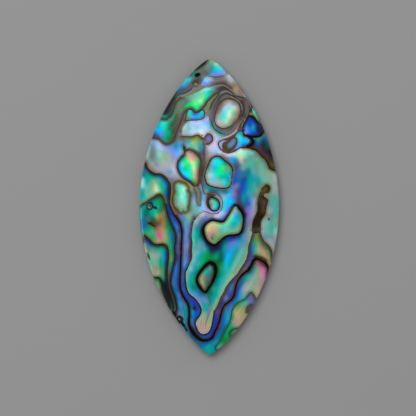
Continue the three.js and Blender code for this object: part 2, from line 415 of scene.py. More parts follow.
        (-4.8, 3.2), (-4.4, 3.5), (-4.1, 3.4), (-3.6, 3.3), (-3.2, 3.0), (-3.0, 2.6), (-3.15, 2.3),
        (-2.85, 1.8), (-2.9, 1.2), (-2.95, 0.6), (-3.1, 0.0), (-3.1, -0.4), (-3.4, -0.7), (-3.7, -0.5),
        (-3.95, -0.75), (-4.2, -0.6), (-4.5, -0.2), (-4.85, 0.1), (-4.95, 0.5), (-5.0, 1.1), (-4.95, 1.7),
        (-4.75, 2.1), (-4.85, 2.6)], ("dark_olive", "lichen")),
    ("ringed oval band", "walnut", 0.16, False, [
        (0.9, 1.62, 0.1), (0.3, 1.75, 0.17), (-0.1, 1.5), (-0.32, 1.0), (-0.33, 0.5), (-0.2, 0.0, 0.12),
        (0.05, -0.3, 0.07)], None),
    ("ringed oval", "black", 0.1, True, [
        (0.35, 1.4), (0.8, 1.25), (1.2, 0.95), (1.43, 0.5), (1.4, 0.05), (1.15, -0.4), (0.7, -0.55),
        (0.3, -0.4), (0.05, -0.1), (-0.1, 0.3), (-0.15, 0.8), (0.05, 1.2)], None),
    ("scar", "umber", 0.08, True, [
        (7.75, 2.9), (8.05, 3.15), (8.4, 3.05), (8.6, 2.7), (8.55, 2.3), (8.4, 2.1), (8.1, 2.02),
        (7.75, 1.95), (7.62, 1.65), (7.8, 1.35), (8.05, 1.2), (8.25, 1.0), (8.28, 0.8), (8.15, 0.4),
        (8.05, 0.0), (8.0, -0.5), (7.9, -1.0), (7.65, -1.4), (7.4, -1.8), (7.25, -2.2), (7.2, -2.7),
        (7.2, -3.3), (6.65, -3.7), (6.1, -3.4), (6.1, -2.8), (6.15, -2.2), (6.25, -1.8), (6.45, -1.4),
        (6.65, -1.0), (6.8, -0.6), (6.85, -0.1), (6.85, 0.4), (6.9, 0.9), (7.0, 1.4), (7.15, 1.8),
        (7.3, 2.2), (7.5, 2.6)], ("drab", None)),
    ("main loop left side", "black", 0.13, False, [
        (-4.85, -1.25), (-4.5, -1.75), (-4.15, -2.3), (-3.97, -2.9), (-3.87, -3.6), (-3.9, -4.4),
        (-3.95, -5.2), (-3.97, -6.2), (-4.05, -7.5), (-4.1, -9.0), (-4.17, -10.5), (-4.1, -11.5),
        (-3.95, -12.1), (-3.75, -12.6), (-3.45, -13.1), (-2.95, -14.0), (-2.85, -15.2),
        (-2.9, -16.5, 0.17), (-2.45, -17.6, 0.25), (-1.8, -18.4, 0.24), (-1.1, -18.85, 0.2),
        (-0.4, -18.9, 0.16), (0.4, -18.5, 0.15), (0.95, -17.4, 0.12)], ("umber", "plum")),
    ("main loop right side", "black", 0.13, False, [
        (0.95, -17.4), (1.4, -16.2), (1.7, -15.0), (2.1, -14.0), (2.9, -13.3), (3.4, -12.7), (3.6, -11.9),
        (3.9, -10.7), (4.5, -9.75, 0.14), (4.95, -9.35, 0.16), (5.4, -9.02, 0.2), (5.75, -8.6, 0.22),
        (6.0, -8.15, 0.2), (6.2, -7.7, 0.2), (6.5, -7.38, 0.22), (6.9, -7.37, 0.18), (7.3, -7.55, 0.16),
        (7.7, -7.77, 0.18), (8.0, -8.03, 0.2), (8.2, -8.35, 0.18), (8.33, -8.75), (8.35, -9.2),
        (8.3, -10.0)], ("sepia", "russet")),
    ("hook band", "dark_olive", 0.15, False, [
        (6.2, -6.95, 0.08), (6.7, -6.98), (7.1, -7.1), (7.5, -7.28), (7.9, -7.52),
        (8.15, -7.85, 0.08)], ("olive", None)),
    ("inner loop left side", "dark_olive", 0.11, False, [
        (-1.95, -1.6), (-2.2, -1.9), (-2.35, -2.3), (-2.45, -2.8), (-2.53, -3.3), (-2.58, -4.0),
        (-2.55, -4.6), (-2.5, -5.0, 0.14), (-2.55, -5.6, 0.16), (-2.6, -6.3, 0.17), (-2.55, -7.0, 0.17),
        (-2.65, -7.5, 0.15), (-2.8, -7.9), (-3.0, -8.35)], ("verdigris", "plum")),
    ("inner loop foot", "soot", 0.12, False, [
        (-3.0, -8.35), (-3.2, -8.8), (-3.38, -9.2), (-3.42, -9.7), (-3.4, -10.4), (-3.3, -11.2),
        (-3.15, -11.8), (-2.9, -12.3), (-2.5, -12.65), (-2.1, -12.95), (-1.8, -13.3), (-1.25, -14.2),
        (-1.15, -14.7), (-1.3, -15.2), (-1.9, -16.1), (-2.0, -16.6), (-1.6, -17.6), (-1.2, -18.0),
        (-0.8, -18.1), (-0.4, -18.0), (0.0, -17.7), (0.3, -17.1), (0.55, -15.9),
        (0.7, -14.8)], ("sage", "indigo")),
    ("inner loop right side", "sepia", 0.13, False, [
        (0.7, -14.8), (1.2, -14.0), (1.6, -13.0), (2.1, -12.1), (2.6, -11.1), (3.4, -10.15), (4.05, -9.5),
        (4.35, -9.0), (4.65, -8.5), (5.0, -8.0), (5.25, -7.5), (5.42, -7.0), (5.55, -6.5), (5.55, -6.0),
        (5.62, -5.5), (5.78, -5.0), (5.95, -4.5), (6.1, -4.0), (6.18, -3.5),
        (6.15, -3.2)], ("sage", "plum")),
    ("right seam", "sepia", 0.13, False, [
        (7.15, -3.1), (7.17, -3.6), (7.3, -4.1), (7.48, -4.5), (7.7, -4.9), (8.05, -5.2), (8.4, -5.55),
        (8.65, -5.9), (8.83, -6.4), (8.9, -7.0, 0.07), (8.9, -7.6, 0.04)], ("stone", "moss")),
    ("bone", "black", 0.14, True, [
        (-0.3, -2.25), (0.1, -2.0), (0.5, -1.88), (1.0, -1.95), (1.6, -2.08, 0.16), (2.0, -2.03),
        (2.3, -1.73), (2.6, -1.3, 0.12), (2.9, -0.85, 0.12), (3.15, -0.35, 0.12), (3.35, 0.0, 0.12),
        (3.6, 0.2), (3.95, 0.15), (4.2, -0.15, 0.2), (4.5, -0.5, 0.22), (4.75, -1.0, 0.2), (4.85, -1.6),
        (4.82, -2.2), (4.72, -2.9), (4.5, -3.5, 0.17), (4.15, -3.85, 0.17), (3.6, -3.97), (3.1, -3.98),
        (2.6, -4.08), (2.2, -4.28), (1.8, -4.57), (1.45, -4.9), (1.1, -5.22, 0.17), (0.75, -5.42, 0.2),
        (0.25, -5.3, 0.2), (-0.2, -4.95, 0.2), (-0.52, -4.5, 0.2), (-0.72, -4.0, 0.2),
        (-0.86, -3.5, 0.22), (-0.82, -3.0, 0.2), (-0.6, -2.55, 0.17)], ("ink", "olive")),
    ("lens", "black", 0.22, True, [
        (0.2, -7.87, 0.3), (0.72, -8.22, 0.32), (0.9, -8.8, 0.3), (0.88, -9.4, 0.27), (0.7, -10.05, 0.25),
        (0.4, -10.72, 0.2), (0.0, -11.37, 0.2), (-0.4, -11.95), (-0.8, -11.97), (-1.25, -11.5),
        (-1.6, -10.95), (-1.75, -10.4, 0.2), (-1.7, -9.9, 0.2), (-1.4, -9.3), (-0.95, -8.75),
        (-0.4, -8.15, 0.27)], ("bottle", "dark_olive")),
    ("sliver seam", "soot", 0.16, False, [
        (-8.3, -10.0), (-7.8, -10.0), (-7.4, -10.0), (-7.05, -10.1), (-6.8, -10.6, 0.2),
        (-6.6, -11.3, 0.24), (-6.35, -12.1, 0.28), (-6.1, -12.9, 0.28), (-5.75, -13.7, 0.22),
        (-5.6, -14.4)], None),
    ("lower right seam", "moss", 0.11, False, [
        (7.1, -13.7), (6.7, -13.2), (6.35, -12.5), (6.0, -12.1), (5.7, -12.2), (5.1, -13.0), (4.2, -13.5),
        (3.6, -14.0), (3.2, -14.7), (3.05, -15.8), (2.7, -16.7), (1.8, -18.5), (1.3, -19.35),
        (0.88, -19.8), (0.95, -20.15), (1.4, -20.5)], None),
    ("lower right nick", "dark_olive", 0.09, False, [
        (4.3, -17.1), (3.9, -17.2), (3.27, -17.4), (2.9, -17.8), (2.97, -18.3)], None),
    ("centre crease", "ash", 0.06, False, [
        (-0.4, -12.5), (-0.2, -13.0), (0.0, -13.5), (0.1, -14.0)], None),
    ("centre fold", "pewter", 0.16, False, [
        (0.1, -14.5, 0.22), (-0.1, -15.2, 0.2), (-0.3, -15.8), (-0.5, -16.4, 0.1),
        (-0.6, -17.0, 0.06)], None),
    ("blue bow", "plum", 0.1, True, [
        (-3.15, 13.4), (-2.9, 13.8), (-2.5, 13.75), (-2.25, 13.45), (-2.0, 13.3), (-1.6, 13.35),
        (-1.2, 13.6), (-0.9, 13.75), (-0.7, 13.3), (-0.8, 12.65), (-1.2, 12.4), (-1.9, 12.3),
        (-2.6, 12.3), (-3.35, 12.2), (-3.3, 12.8)], None),
    ("kidney", "plum", 0.11, True, [
        (1.3, 9.1), (1.9, 9.5), (2.4, 9.6), (3.0, 9.75), (3.6, 10.1), (4.1, 10.7), (4.6, 10.75),
        (5.2, 10.0), (5.7, 9.6), (5.75, 9.2), (5.2, 8.65), (4.6, 8.45), (4.2, 8.3), (3.7, 7.95),
        (3.2, 7.75), (2.6, 7.65), (2.0, 7.85), (1.6, 8.2), (1.35, 8.6)], None),
    ("kidney eye", "brown", 0.13, True, [
        (2.0, 8.7, 0.2), (2.2, 9.05, 0.17), (2.7, 9.2, 0.15), (3.1, 9.6), (3.5, 9.85), (3.85, 9.6),
        (3.85, 9.1, 0.15), (3.6, 8.6, 0.2), (3.2, 8.2, 0.24), (2.7, 7.95, 0.27), (2.3, 8.1, 0.27),
        (2.05, 8.4, 0.24)], None),
    ("mauve oval", "brown", 0.08, True, [
        (5.2, -14.9), (5.25, -14.4), (5.5, -14.0), (5.9, -13.8), (6.1, -14.0), (6.0, -14.5), (5.7, -14.8),
        (5.4, -15.0)], None),
]

# Edges where two colours meet with no line between them
EDGES = [
    [(2.3, 19.45), (2.35, 19.1), (2.2, 18.75)],
    [(-2.3, 19.05), (-2.45, 18.5), (-2.6, 17.9), (-3.0, 17.2), (-3.5, 16.75), (-4.2, 16.35)],
    [(4.95, 15.7), (5.0, 16.1), (5.15, 16.3)],
    [(-3.85, 10.1), (-3.85, 10.7), (-3.78, 11.15), (-3.5, 11.6), (-3.15, 12.0), (-2.9, 12.15)],
    [(-6.9, 12.28), (-6.5, 12.25), (-6.1, 12.25), (-5.8, 12.4)],
    [(-0.1, 12.95), (-0.05, 12.4), (0.05, 11.8), (0.05, 11.3)],
    [(6.15, 14.6), (6.13, 14.0), (6.1, 13.5), (6.2, 13.1), (6.5, 12.6), (6.9, 12.15)],
    [(-0.55, 17.15), (-1.1, 17.2), (-1.05, 17.7), (-0.7, 18.1), (-0.55, 18.35)],
]

# Touches of colour, cell by cell: a colour and the point or the path it was laid along
TOUCHES = [
    # Tip
    ("petrol", (0.55, 20.1), (0.4, 19.2)), ("straw", (0.95, 20.2)), ("mint", (0.6, 20.0)),
    ("turquoise", (0.9, 19.6)), ("cyan", (0.7, 19.25), (1.2, 19.35)), ("aqua", (1.6, 19.65)),
    ("sky", (1.8, 19.3)), ("lilac", (2.1, 19.1)), ("periwinkle", (1.4, 18.95)), ("violet", (0.9, 18.8)),
    ("periwinkle", (0.5, 18.9)), ("slate", (1.6, 18.72)), ("sage", (0.2, 20.65)),
    ("lichen", (0.0, 20.2), (-0.5, 19.8)), ("pewter", (0.0, 19.6)), ("ash", (-0.9, 19.6)),
    ("cocoa", (-1.1, 19.3)), ("ash", (-0.9, 19.0)), ("grape", (-0.4, 18.95)), ("cocoa", (-0.3, 18.6)),
    ("dusk", (-1.15, 18.4)), ("jade", (-1.9, 19.25)), ("pewter", (-1.5, 19.35)),
    ("spruce", (-2.25, 18.95)), ("pine", (-2.7, 18.6)), ("ash", (-2.3, 18.6)), ("ash", (2.5, 18.95)),
    ("flint", (2.35, 19.4)), ("stone", (2.1, 18.35), (1.4, 18.2)), ("taupe", (0.9, 18.2)),
    # Left of the hollow
    ("cyan", (-2.95, 18.15), (-3.2, 17.95)), ("aqua", (-2.6, 18.1)), ("seafoam", (-2.5, 18.35)),
    ("mist", (-3.5, 17.6)), ("lagoon", (-3.3, 17.6)), ("seafoam", (-3.75, 17.3)),
    ("denim", (-3.4, 17.0), (-3.0, 17.5)), ("cobalt", (-3.9, 16.88)), ("petrol", (-4.35, 16.5)),
    ("flint", (-2.65, 17.7), (-2.3, 18.05)), ("dusk", (-2.7, 17.0), (-3.2, 16.6)),
    ("dusk", (-3.8, 16.35)), ("stone", (-2.4, 17.3), (-2.05, 16.97)), ("stone", (-1.4, 17.15)),
    ("cocoa", (-2.4, 17.6)), ("sepia", (-1.8, 17.9)), ("charcoal", (-1.45, 18.05)),
    ("dusk", (-1.2, 17.7)), ("pine", (-4.8, 16.0)), ("ash", (-4.5, 15.5)), ("drab", (-4.4, 15.85)),
    # Blue wedge
    ("aqua", (-0.4, 18.2)), ("ice", (-0.15, 18.05)), ("lilac", (0.15, 18.0)), ("sky", (-0.3, 17.75)),
    ("periwinkle", (-0.6, 17.5)), ("slate", (-0.9, 17.35)), ("violet", (-0.25, 17.5)),
    ("pewter", (0.4, 17.7)), ("seafoam", (-0.75, 18.3)), ("spruce", (-0.95, 17.95)), ("ash", (0.1, 17.2)),
    # Grey layers over the crown ring
    ("stone", (1.0, 17.85)), ("ash", (1.0, 17.6), (1.7, 17.65)), ("cocoa", (2.2, 17.7), (2.1, 17.05)),
    ("taupe", (2.6, 17.5), (2.85, 17.35)), ("stone", (2.3, 18.1)), ("silver", (2.4, 18.3)),
    ("dusk", (1.2, 16.85), (1.3, 16.3)), ("charcoal", (1.6, 16.6)), ("pewter", (0.6, 16.7)),
    ("flint", (0.85, 16.4)), ("ash", (1.6, 16.15), (2.2, 16.35)), ("sepia", (2.9, 16.15)),
    ("cocoa", (3.0, 16.8)), ("chalk", (2.7, 18.6)), ("lilac", (3.3, 18.2)), ("lavender", (2.9, 18.0)),
    ("silver", (3.1, 17.6)), ("taupe", (3.2, 17.0)), ("drab", (3.65, 17.4)), ("khaki", (3.9, 17.7)),
    ("sand", (3.9, 16.8)), ("fawn", (3.5, 16.5), (4.1, 16.2)), ("bronze", (4.5, 16.4), (4.3, 16.9)),
    ("taupe", (4.8, 16.1)), ("stone", (3.8, 16.05)), ("periwinkle", (5.2, 15.95)),
    ("slate", (5.3, 15.65)), ("indigo", (5.5, 15.2)), ("navy", (5.7, 14.9)), ("petrol", (5.87, 14.7)),
    ("russet", (5.8, 14.15)),
    # Left shoulder
    ("ink", (-5.8, 14.3)), ("dusk", (-5.5, 14.1)), ("charcoal", (-6.1, 13.4)), ("charcoal", (-5.3, 14.8)),
    ("pine", (-6.5, 13.25)), ("pine", (-5.2, 15.2)), ("teal", (-6.3, 12.85), (-6.05, 12.75)),
    ("jade", (-6.65, 12.7)), ("bottle", (-5.75, 12.95)), ("spruce", (-5.5, 13.4), (-5.3, 13.75)),
    ("ash", (-5.1, 14.25), (-4.9, 14.8)), ("pewter", (-3.6, 15.75), (-4.0, 15.7)),
    # Green flame
    ("leaf", (-3.55, 14.0)), ("emerald", (-3.1, 14.2), (-2.6, 14.7)),
    ("emerald", (-2.2, 14.2), (-1.7, 14.0)), ("lime", (-2.05, 14.5), (-1.95, 15.1)),
    ("emerald", (-1.6, 14.5)), ("lime", (-1.2, 15.1)), ("straw", (-1.15, 14.9)), ("lime", (-1.0, 15.6)),
    ("mint", (-0.75, 15.85)), ("emerald", (-0.6, 15.2), (-0.5, 15.7)),
    ("turquoise", (-0.2, 15.9), (-0.1, 15.6)), ("teal", (0.1, 15.75)), ("jade", (-0.6, 14.75)),
    ("spruce", (-0.3, 15.0)), ("jade", (0.2, 16.3)), ("seafoam", (-2.0, 15.4), (-2.4, 15.7)),
    ("mist", (-1.9, 15.65)), ("verdigris", (-2.7, 15.5)), ("verdigris", (-1.5, 15.9), (-0.9, 16.2)),
    ("mint", (-1.1, 16.5)), ("aqua", (-0.6, 16.6)), ("ice", (-0.3, 16.7)), ("aqua", (0.1, 16.85)),
    ("seafoam", (0.5, 16.9), (0.3, 16.6)), ("mint", (-1.4, 15.4)), ("pewter", (-3.0, 15.2), (-3.6, 15.0)),
    ("stone", (-3.3, 15.5)), ("lichen", (-4.1, 14.7), (-4.3, 15.0)), ("spruce", (-3.2, 14.8)),
    ("taupe", (-4.45, 14.3)), ("lichen", (-4.1, 14.1), (-3.9, 13.7)), ("stone", (-3.9, 14.4)),
    ("lichen", (-4.9, 13.6), (-4.35, 13.3)), ("moss", (-4.65, 12.9), (-4.9, 12.4)),
    ("ash", (-4.0, 13.2), (-4.5, 12.6)), ("seafoam", (-5.2, 12.9), (-5.3, 12.5)),
    ("seafoam", (-5.7, 12.3)), ("moss", (-5.15, 12.0)), ("pine", (-5.4, 11.6)),
    ("spruce", (-5.65, 11.2), (-5.1, 11.1)), ("cocoa", (-4.7, 12.1), (-4.2, 12.4)),
    ("cocoa", (-4.8, 11.5)), ("sepia", (-5.0, 10.9)), ("pine", (-5.2, 10.4)),
    # Right of the upper left seam
    ("dusk", (-4.25, 10.9)), ("cocoa", (-3.9, 12.0)), ("pewter", (-4.3, 10.5)), ("flint", (-4.4, 10.0)),
    ("plum", (-3.95, 10.7)), ("stone", (-4.1, 11.3)), ("dusk", (-3.5, 12.4)), ("pewter", (-3.6, 12.9)),
    ("drab", (-3.3, 13.1)), ("drab", (-3.7, 11.6)), ("taupe", (-3.4, 12.1)), ("stone", (-3.95, 10.3)),
    # Left bright cell
    ("aqua", (-6.5, 12.1), (-6.15, 12.05)), ("teal", (-7.1, 11.9), (-7.15, 11.5)), ("aqua", (-6.8, 11.6)),
    ("turquoise", (-6.35, 11.6), (-6.4, 11.0)), ("emerald", (-6.1, 11.3)), ("sky", (-6.85, 11.0)),
    ("azure", (-7.4, 11.0), (-7.2, 10.75)), ("lagoon", (-7.6, 10.9)), ("azure", (-7.45, 10.4)),
    ("royal", (-7.5, 10.1)), ("indigo", (-7.3, 9.98)), ("periwinkle", (-6.9, 10.3)),
    ("slate", (-7.0, 10.0)), ("steel", (-6.6, 10.15)), ("teal", (-6.5, 9.9), (-6.5, 9.55)),
    ("teal", (-6.2, 10.15)), ("leaf", (-6.0, 9.7), (-5.7, 9.9)), ("jade", (-5.5, 10.2), (-5.85, 10.6)),
    ("moss", (-5.35, 9.7)), ("jade", (-5.9, 11.2)), ("jade", (-5.7, 11.95)), ("ink", (-7.85, 10.3)),
    # Blue bow
    ("khaki", (-3.05, 12.9)), ("turquoise", (-2.85, 13.45)), ("cyan", (-2.6, 13.3)),
    ("emerald", (-2.8, 13.1)), ("azure", (-2.4, 13.1), (-2.3, 12.7)), ("periwinkle", (-2.05, 12.9)),
    ("violet", (-1.95, 12.6)), ("lagoon", (-1.4, 13.0)), ("cyan", (-1.0, 13.3)), ("azure", (-1.6, 12.7)),
    ("drab", (-3.1, 12.55)), ("teal", (-0.95, 12.9)), ("navy", (-2.1, 13.35)),
    # Pale blue cell and the lavender field under it
    ("silver", (-3.6, 10.8)), ("pearl", (-3.5, 11.3)), ("mist", (-3.1, 10.9), (-3.2, 10.45)),
    ("seafoam", (-2.8, 11.25)), ("ice", (-2.5, 11.3), (-2.3, 10.8)), ("mist", (-2.9, 11.75)),
    ("ice", (-2.5, 11.9)), ("lavender", (-2.4, 10.4)), ("lilac", (-2.1, 11.6)), ("ice", (-1.5, 11.7)),
    ("lavender", (-0.3, 12.3)), ("chalk", (-1.3, 10.8)), ("mist", (-1.5, 11.1)), ("blush", (0.6, 9.0)),
    ("lavender", (0.2, 8.4)), ("ice", (0.9, 8.4)), ("lilac", (0.9, 7.7)), ("silver", (0.0, 7.3)),
    ("mauve", (1.8, 7.4), (2.4, 6.9)), ("periwinkle", (-0.25, 12.1)), ("sky", (-0.2, 11.6)),
    ("ice", (-0.5, 11.4)), ("lavender", (-0.3, 10.8)), ("seafoam", (0.25, 11.5)),
    ("verdigris", (0.5, 10.9), (0.9, 10.6)), ("seafoam", (1.2, 10.4)), ("mist", (1.4, 9.95)),
    ("sea_grey", (0.15, 12.1)), ("lavender", (1.0, 9.8)), ("blush", (0.7, 10.3)), ("silver", (0.3, 10.6)),
    ("verdigris", (1.9, 10.0)),
    # Rings round the big oval
    ("stone", (-0.35, 13.3)), ("lichen", (-0.55, 14.0), (0.0, 14.1)), ("sage", (-0.2, 14.55)),
    ("spruce", (0.35, 14.3)), ("ash", (0.6, 14.8)), ("spruce", (1.0, 15.4)),
    ("flint", (0.05, 13.2), (0.25, 12.9)), ("flint", (0.0, 12.6)), ("grape", (0.68, 13.1), (0.85, 13.9)),
    ("dusk", (0.7, 12.5)), ("cocoa", (0.95, 14.3), (1.4, 14.9)), ("stone", (1.9, 15.5), (2.6, 15.7)),
    ("ash", (2.2, 15.35)), ("cocoa", (2.9, 15.4)), ("stone", (3.1, 15.7)), ("taupe", (3.6, 15.5)),
    ("stone", (4.0, 15.35)), ("taupe", (4.4, 15.3)), ("charcoal", (4.8, 15.1)), ("bronze", (5.15, 15.15)),
    ("drab", (5.5, 14.4)), ("ash", (5.1, 14.1), (5.55, 13.8)), ("dusk", (4.65, 14.2), (4.75, 13.3)),
    ("ash", (5.1, 13.2)), ("cocoa", (4.5, 12.9), (4.2, 12.4)), ("bronze", (3.9, 12.1)),
    ("taupe", (3.6, 11.6)), ("dusk", (3.3, 11.2)), ("taupe", (3.6, 11.1)), ("sea_grey", (0.8, 11.4)),
    ("pewter", (1.15, 11.05)), ("flint", (1.6, 10.85)), ("taupe", (2.0, 10.9)), ("flint", (2.6, 10.9)),
    ("pewter", (1.9, 10.55), (2.2, 10.1)), ("mauve", (2.45, 10.35)), ("ash", (2.9, 10.7)),
    ("pewter", (3.1, 10.5)), ("cocoa", (4.65, 11.9)), ("dusk", (4.6, 11.3)),
    # Big oval
    ("aqua", (2.3, 13.4), (1.95, 13.1)), ("aqua", (1.9, 12.6)), ("cyan", (2.0, 12.8)),
    ("mint", (2.15, 12.3)), ("frost", (2.4, 12.15)), ("frost", (2.7, 13.1), (3.0, 13.6)),
    ("straw", (2.8, 12.7)), ("ice", (2.6, 14.2), (2.2, 13.9)), ("ice", (3.1, 14.3)),
    ("chalk", (3.6, 14.1)), ("sage", (3.5, 13.3)), ("khaki", (3.7, 12.8)),
    ("sage", (3.1, 12.3), (2.8, 11.6)), ("silver", (1.9, 11.8)), ("lavender", (1.4, 12.0)),
    ("oatmeal", (1.0, 12.0), (1.3, 11.65)), ("oatmeal", (1.8, 11.4)), ("fawn", (2.3, 11.35)),
    ("fawn", (2.5, 14.9), (2.1, 14.75)), ("lavender", (2.85, 14.6)), ("fawn", (3.3, 14.8)),
    ("pewter", (3.5, 14.6)), ("taupe", (1.8, 14.4), (1.45, 14.0)), ("taupe", (1.2, 13.5)),
    ("fawn", (3.95, 14.5), (4.1, 13.8)), ("taupe", (4.0, 13.0)), ("taupe", (3.6, 12.3), (3.2, 11.9)),
    ("fawn", (1.2, 13.0)), ("silver", (1.45, 12.9), (1.2, 12.5)), ("mint", (3.0, 13.9)),
    # Kidney and the blue beside it
    ("lilac", (1.7, 8.9)), ("steel", (2.8, 8.6), (3.5, 9.4)),
    ("chalk", (1.6, 7.75), (2.6, 7.4), (3.6, 7.5)), ("cyan", (4.4, 9.7)), ("cyan", (4.8, 9.3)),
    ("azure", (5.05, 9.5), (5.35, 9.35)), ("sky", (4.2, 8.95)), ("periwinkle", (4.2, 8.55)),
    ("cobalt", (4.9, 8.85)), ("mist", (5.4, 9.65)), ("aqua", (4.25, 9.6)), ("aqua", (4.15, 10.05)),
    ("lagoon", (4.35, 10.3)), ("petrol", (4.35, 10.8)), ("mist", (4.0, 10.2)), ("brown", (2.3, 8.5)),
    ("slate", (3.3, 10.0)), ("mauve", (2.9, 9.75)),
    # Blue lobe and rim triangle
    ("royal", (5.8, 12.45), (6.2, 12.4)), ("cobalt", (5.55, 12.15), (6.3, 11.9)), ("indigo", (6.4, 12.1)),
    ("indigo", (5.3, 11.95)), ("sky", (5.3, 11.1)), ("azure", (5.3, 11.35)),
    ("periwinkle", (5.15, 10.8), (5.4, 10.6)), ("slate", (5.0, 11.5)), ("navy", (5.75, 11.6)),
    ("royal", (5.85, 11.0)), ("cyan", (6.15, 11.15)), ("azure", (6.3, 11.5)), ("teal", (6.45, 11.1)),
    ("cobalt", (6.1, 10.6)), ("royal", (6.35, 10.2)), ("ink", (6.7, 11.3), (7.1, 11.0)),
    ("navy", (6.9, 10.8)), ("navy", (7.35, 11.0)), ("ink", (7.45, 11.3)), ("black", (7.6, 10.7)),
    ("mint", (6.3, 14.05)), ("turquoise", (6.4, 13.7)), ("jade", (6.28, 13.4)), ("teal", (6.6, 13.15)),
    ("jade", (6.85, 12.5)), ("moss", (7.0, 12.15)), ("sage", (6.2, 13.2)), ("sage", (6.55, 12.65)),
    ("ochre", (5.95, 13.2)), ("olive", (5.8, 13.05)),
    # Right of the lobe junction
    ("teal", (7.5, 10.0)), ("cobalt", (7.95, 10.0), (7.7, 9.75)), ("lagoon", (7.15, 9.7)),
    ("ink", (7.6, 9.4)), ("petrol", (8.1, 9.6)), ("teal", (6.9, 9.3)), ("cobalt", (6.8, 9.0)),
    ("plum", (7.5, 9.0)), ("bottle", (8.3, 9.1)), ("umber", (7.5, 8.3), (8.2, 7.9)),
    ("seafoam", (7.85, 10.4)),
    # Fan and the band left of it
    ("dusk", (-3.95, 9.8), (-3.6, 9.4)), ("pewter", (-3.5, 8.95)), ("steel", (-3.3, 9.45), (-3.0, 9.1)),
    ("teal", (-2.85, 9.5)), ("mist", (-3.0, 8.75)), ("seafoam", (-2.6, 9.1), (-2.45, 8.7)),
    ("fern", (-2.45, 9.65)), ("ochre", (-2.2, 9.7)), ("lime", (-2.4, 9.15)), ("khaki", (-2.0, 9.45)),
    ("sand", (-1.9, 9.1)), ("sage", (-1.8, 8.4)), ("fern", (-1.6, 9.5), (-1.45, 9.0)),
    ("khaki_grey", (-1.85, 9.85)), ("seafoam", (-1.3, 9.3)), ("teal", (-1.2, 8.8), (-1.3, 8.3)),
    ("mint", (-1.8, 8.02), (-2.15, 8.25)), ("spruce", (-1.35, 7.8)), ("steel", (-0.95, 9.0), (-0.9, 8.4)),
    ("denim", (-0.95, 7.9)), ("plum", (-0.88, 7.4)), ("mauve", (-0.5, 9.45)), ("violet", (-0.15, 9.65)),
    # Stripes between the diamond and the rounded square
    ("haze", (-0.95, 7.1)), ("ash", (-0.95, 6.7), (-0.9, 6.0)), ("pine", (-1.08, 5.7)),
    ("taupe", (-0.45, 6.5)), ("chestnut", (-0.5, 5.9), (-0.55, 5.4)),
    ("stone", (-0.35, 7.6), (-0.3, 7.0)), ("sepia", (-1.05, 5.0)), ("cocoa", (-0.85, 4.5), (-0.85, 4.1)),
    ("dusk", (-0.72, 5.1)), ("silver", (-0.35, 8.6)), ("lavender", (0.0, 8.3)), ("lilac", (0.5, 7.55)),
    ("ice", (0.95, 8.1)), ("periwinkle", (0.95, 7.6)), ("fawn", (0.0, 7.0)), ("blush", (0.6, 8.9)),
    ("silver", (0.05, 7.7)),
    # Diamond
    ("apricot", (-3.0, 7.6), (-2.95, 7.15)), ("violet", (-2.5, 7.8)),
    ("orchid", (-2.5, 7.45), (-2.2, 7.3)), ("pink", (-2.75, 7.85)), ("leaf", (-3.42, 7.15)),
    ("lime", (-3.2, 7.0), (-3.0, 6.55)), ("emerald", (-3.5, 6.75), (-3.2, 6.3)), ("teal", (-3.85, 6.75)),
    ("apricot", (-2.55, 6.95)), ("rose", (-2.2, 6.85)), ("khaki", (-1.9, 6.95)),
    ("straw", (-2.6, 6.4), (-2.2, 6.3)), ("jade", (-1.6, 6.3)), ("lime", (-1.95, 6.5)),
    ("mint", (-3.8, 6.2), (-3.8, 5.85)), ("lagoon", (-4.2, 6.1)), ("azure", (-4.3, 5.5), (-4.05, 4.95)),
    ("straw", (-2.1, 5.75), (-2.2, 5.1)), ("lime", (-2.4, 5.9)), ("jade", (-3.35, 5.4)),
    ("emerald", (-2.9, 5.8)), ("turquoise", (-3.8, 5.5)), ("turquoise", (-2.9, 5.2)),
    ("teal", (-1.5, 5.6)), ("apricot", (-1.95, 5.25)), ("orchid", (-1.83, 4.85), (-1.83, 4.4)),
    ("magenta", (-1.62, 4.7)), ("lime", (-2.3, 4.6)), ("emerald", (-2.5, 4.9), (-2.5, 4.1)),
    ("cyan", (-3.7, 4.85)), ("azure", (-3.5, 4.3)), ("cyan", (-3.1, 4.7), (-3.0, 4.3)),
    ("peach", (-2.05, 4.25)), ("rose", (-1.8, 4.1)), ("ochre", (-1.9, 3.7)), ("leaf", (-2.1, 3.35)),
    # Rounded square
    ("aqua", (0.5, 6.7), (0.35, 6.3)), ("cyan", (1.25, 6.6), (1.15, 6.1)), ("sky", (0.75, 6.2)),
    ("steel", (0.35, 5.8)), ("mist", (0.1, 5.6)), ("emerald", (1.5, 5.9), (1.6, 5.1)),
    ("lime", (1.95, 5.6)), ("lagoon", (0.8, 5.4)), ("turquoise", (1.0, 5.0), (1.3, 4.3)),
    ("verdigris", (0.1, 5.1)), ("ice", (0.1, 4.5)), ("aqua", (0.6, 4.6)),
    ("teal", (1.8, 4.2), (2.75, 3.9)), ("mist", (0.3, 3.8), (1.2, 3.55)), ("sage", (1.4, 4.0)),
    ("aqua", (2.1, 3.8)), ("cyan", (2.3, 3.3)), ("teal", (2.55, 3.15)),
    ("silver", (1.2, 3.05), (2.0, 2.95)), ("emerald", (1.8, 4.7)), ("lagoon", (2.8, 4.6)),
    ("fern", (2.45, 5.5)), ("sage", (2.85, 5.5)), ("cyan", (1.8, 6.4)), ("teal", (2.2, 6.1)),
    ("sage", (-0.3, 3.9)),
    # Pearly grey left cell
    ("mist", (-8.05, 9.25)), ("steel", (-7.95, 9.0), (-8.1, 8.7)), ("flint", (-8.3, 8.3), (-8.37, 7.9)),
    ("foam", (-8.5, 8.4), (-8.68, 7.9), (-8.72, 7.4)), ("silver", (-8.9, 6.95)),
    ("sea_grey", (-8.7, 6.7)), ("pewter", (-8.05, 8.4), (-8.0, 7.9)),
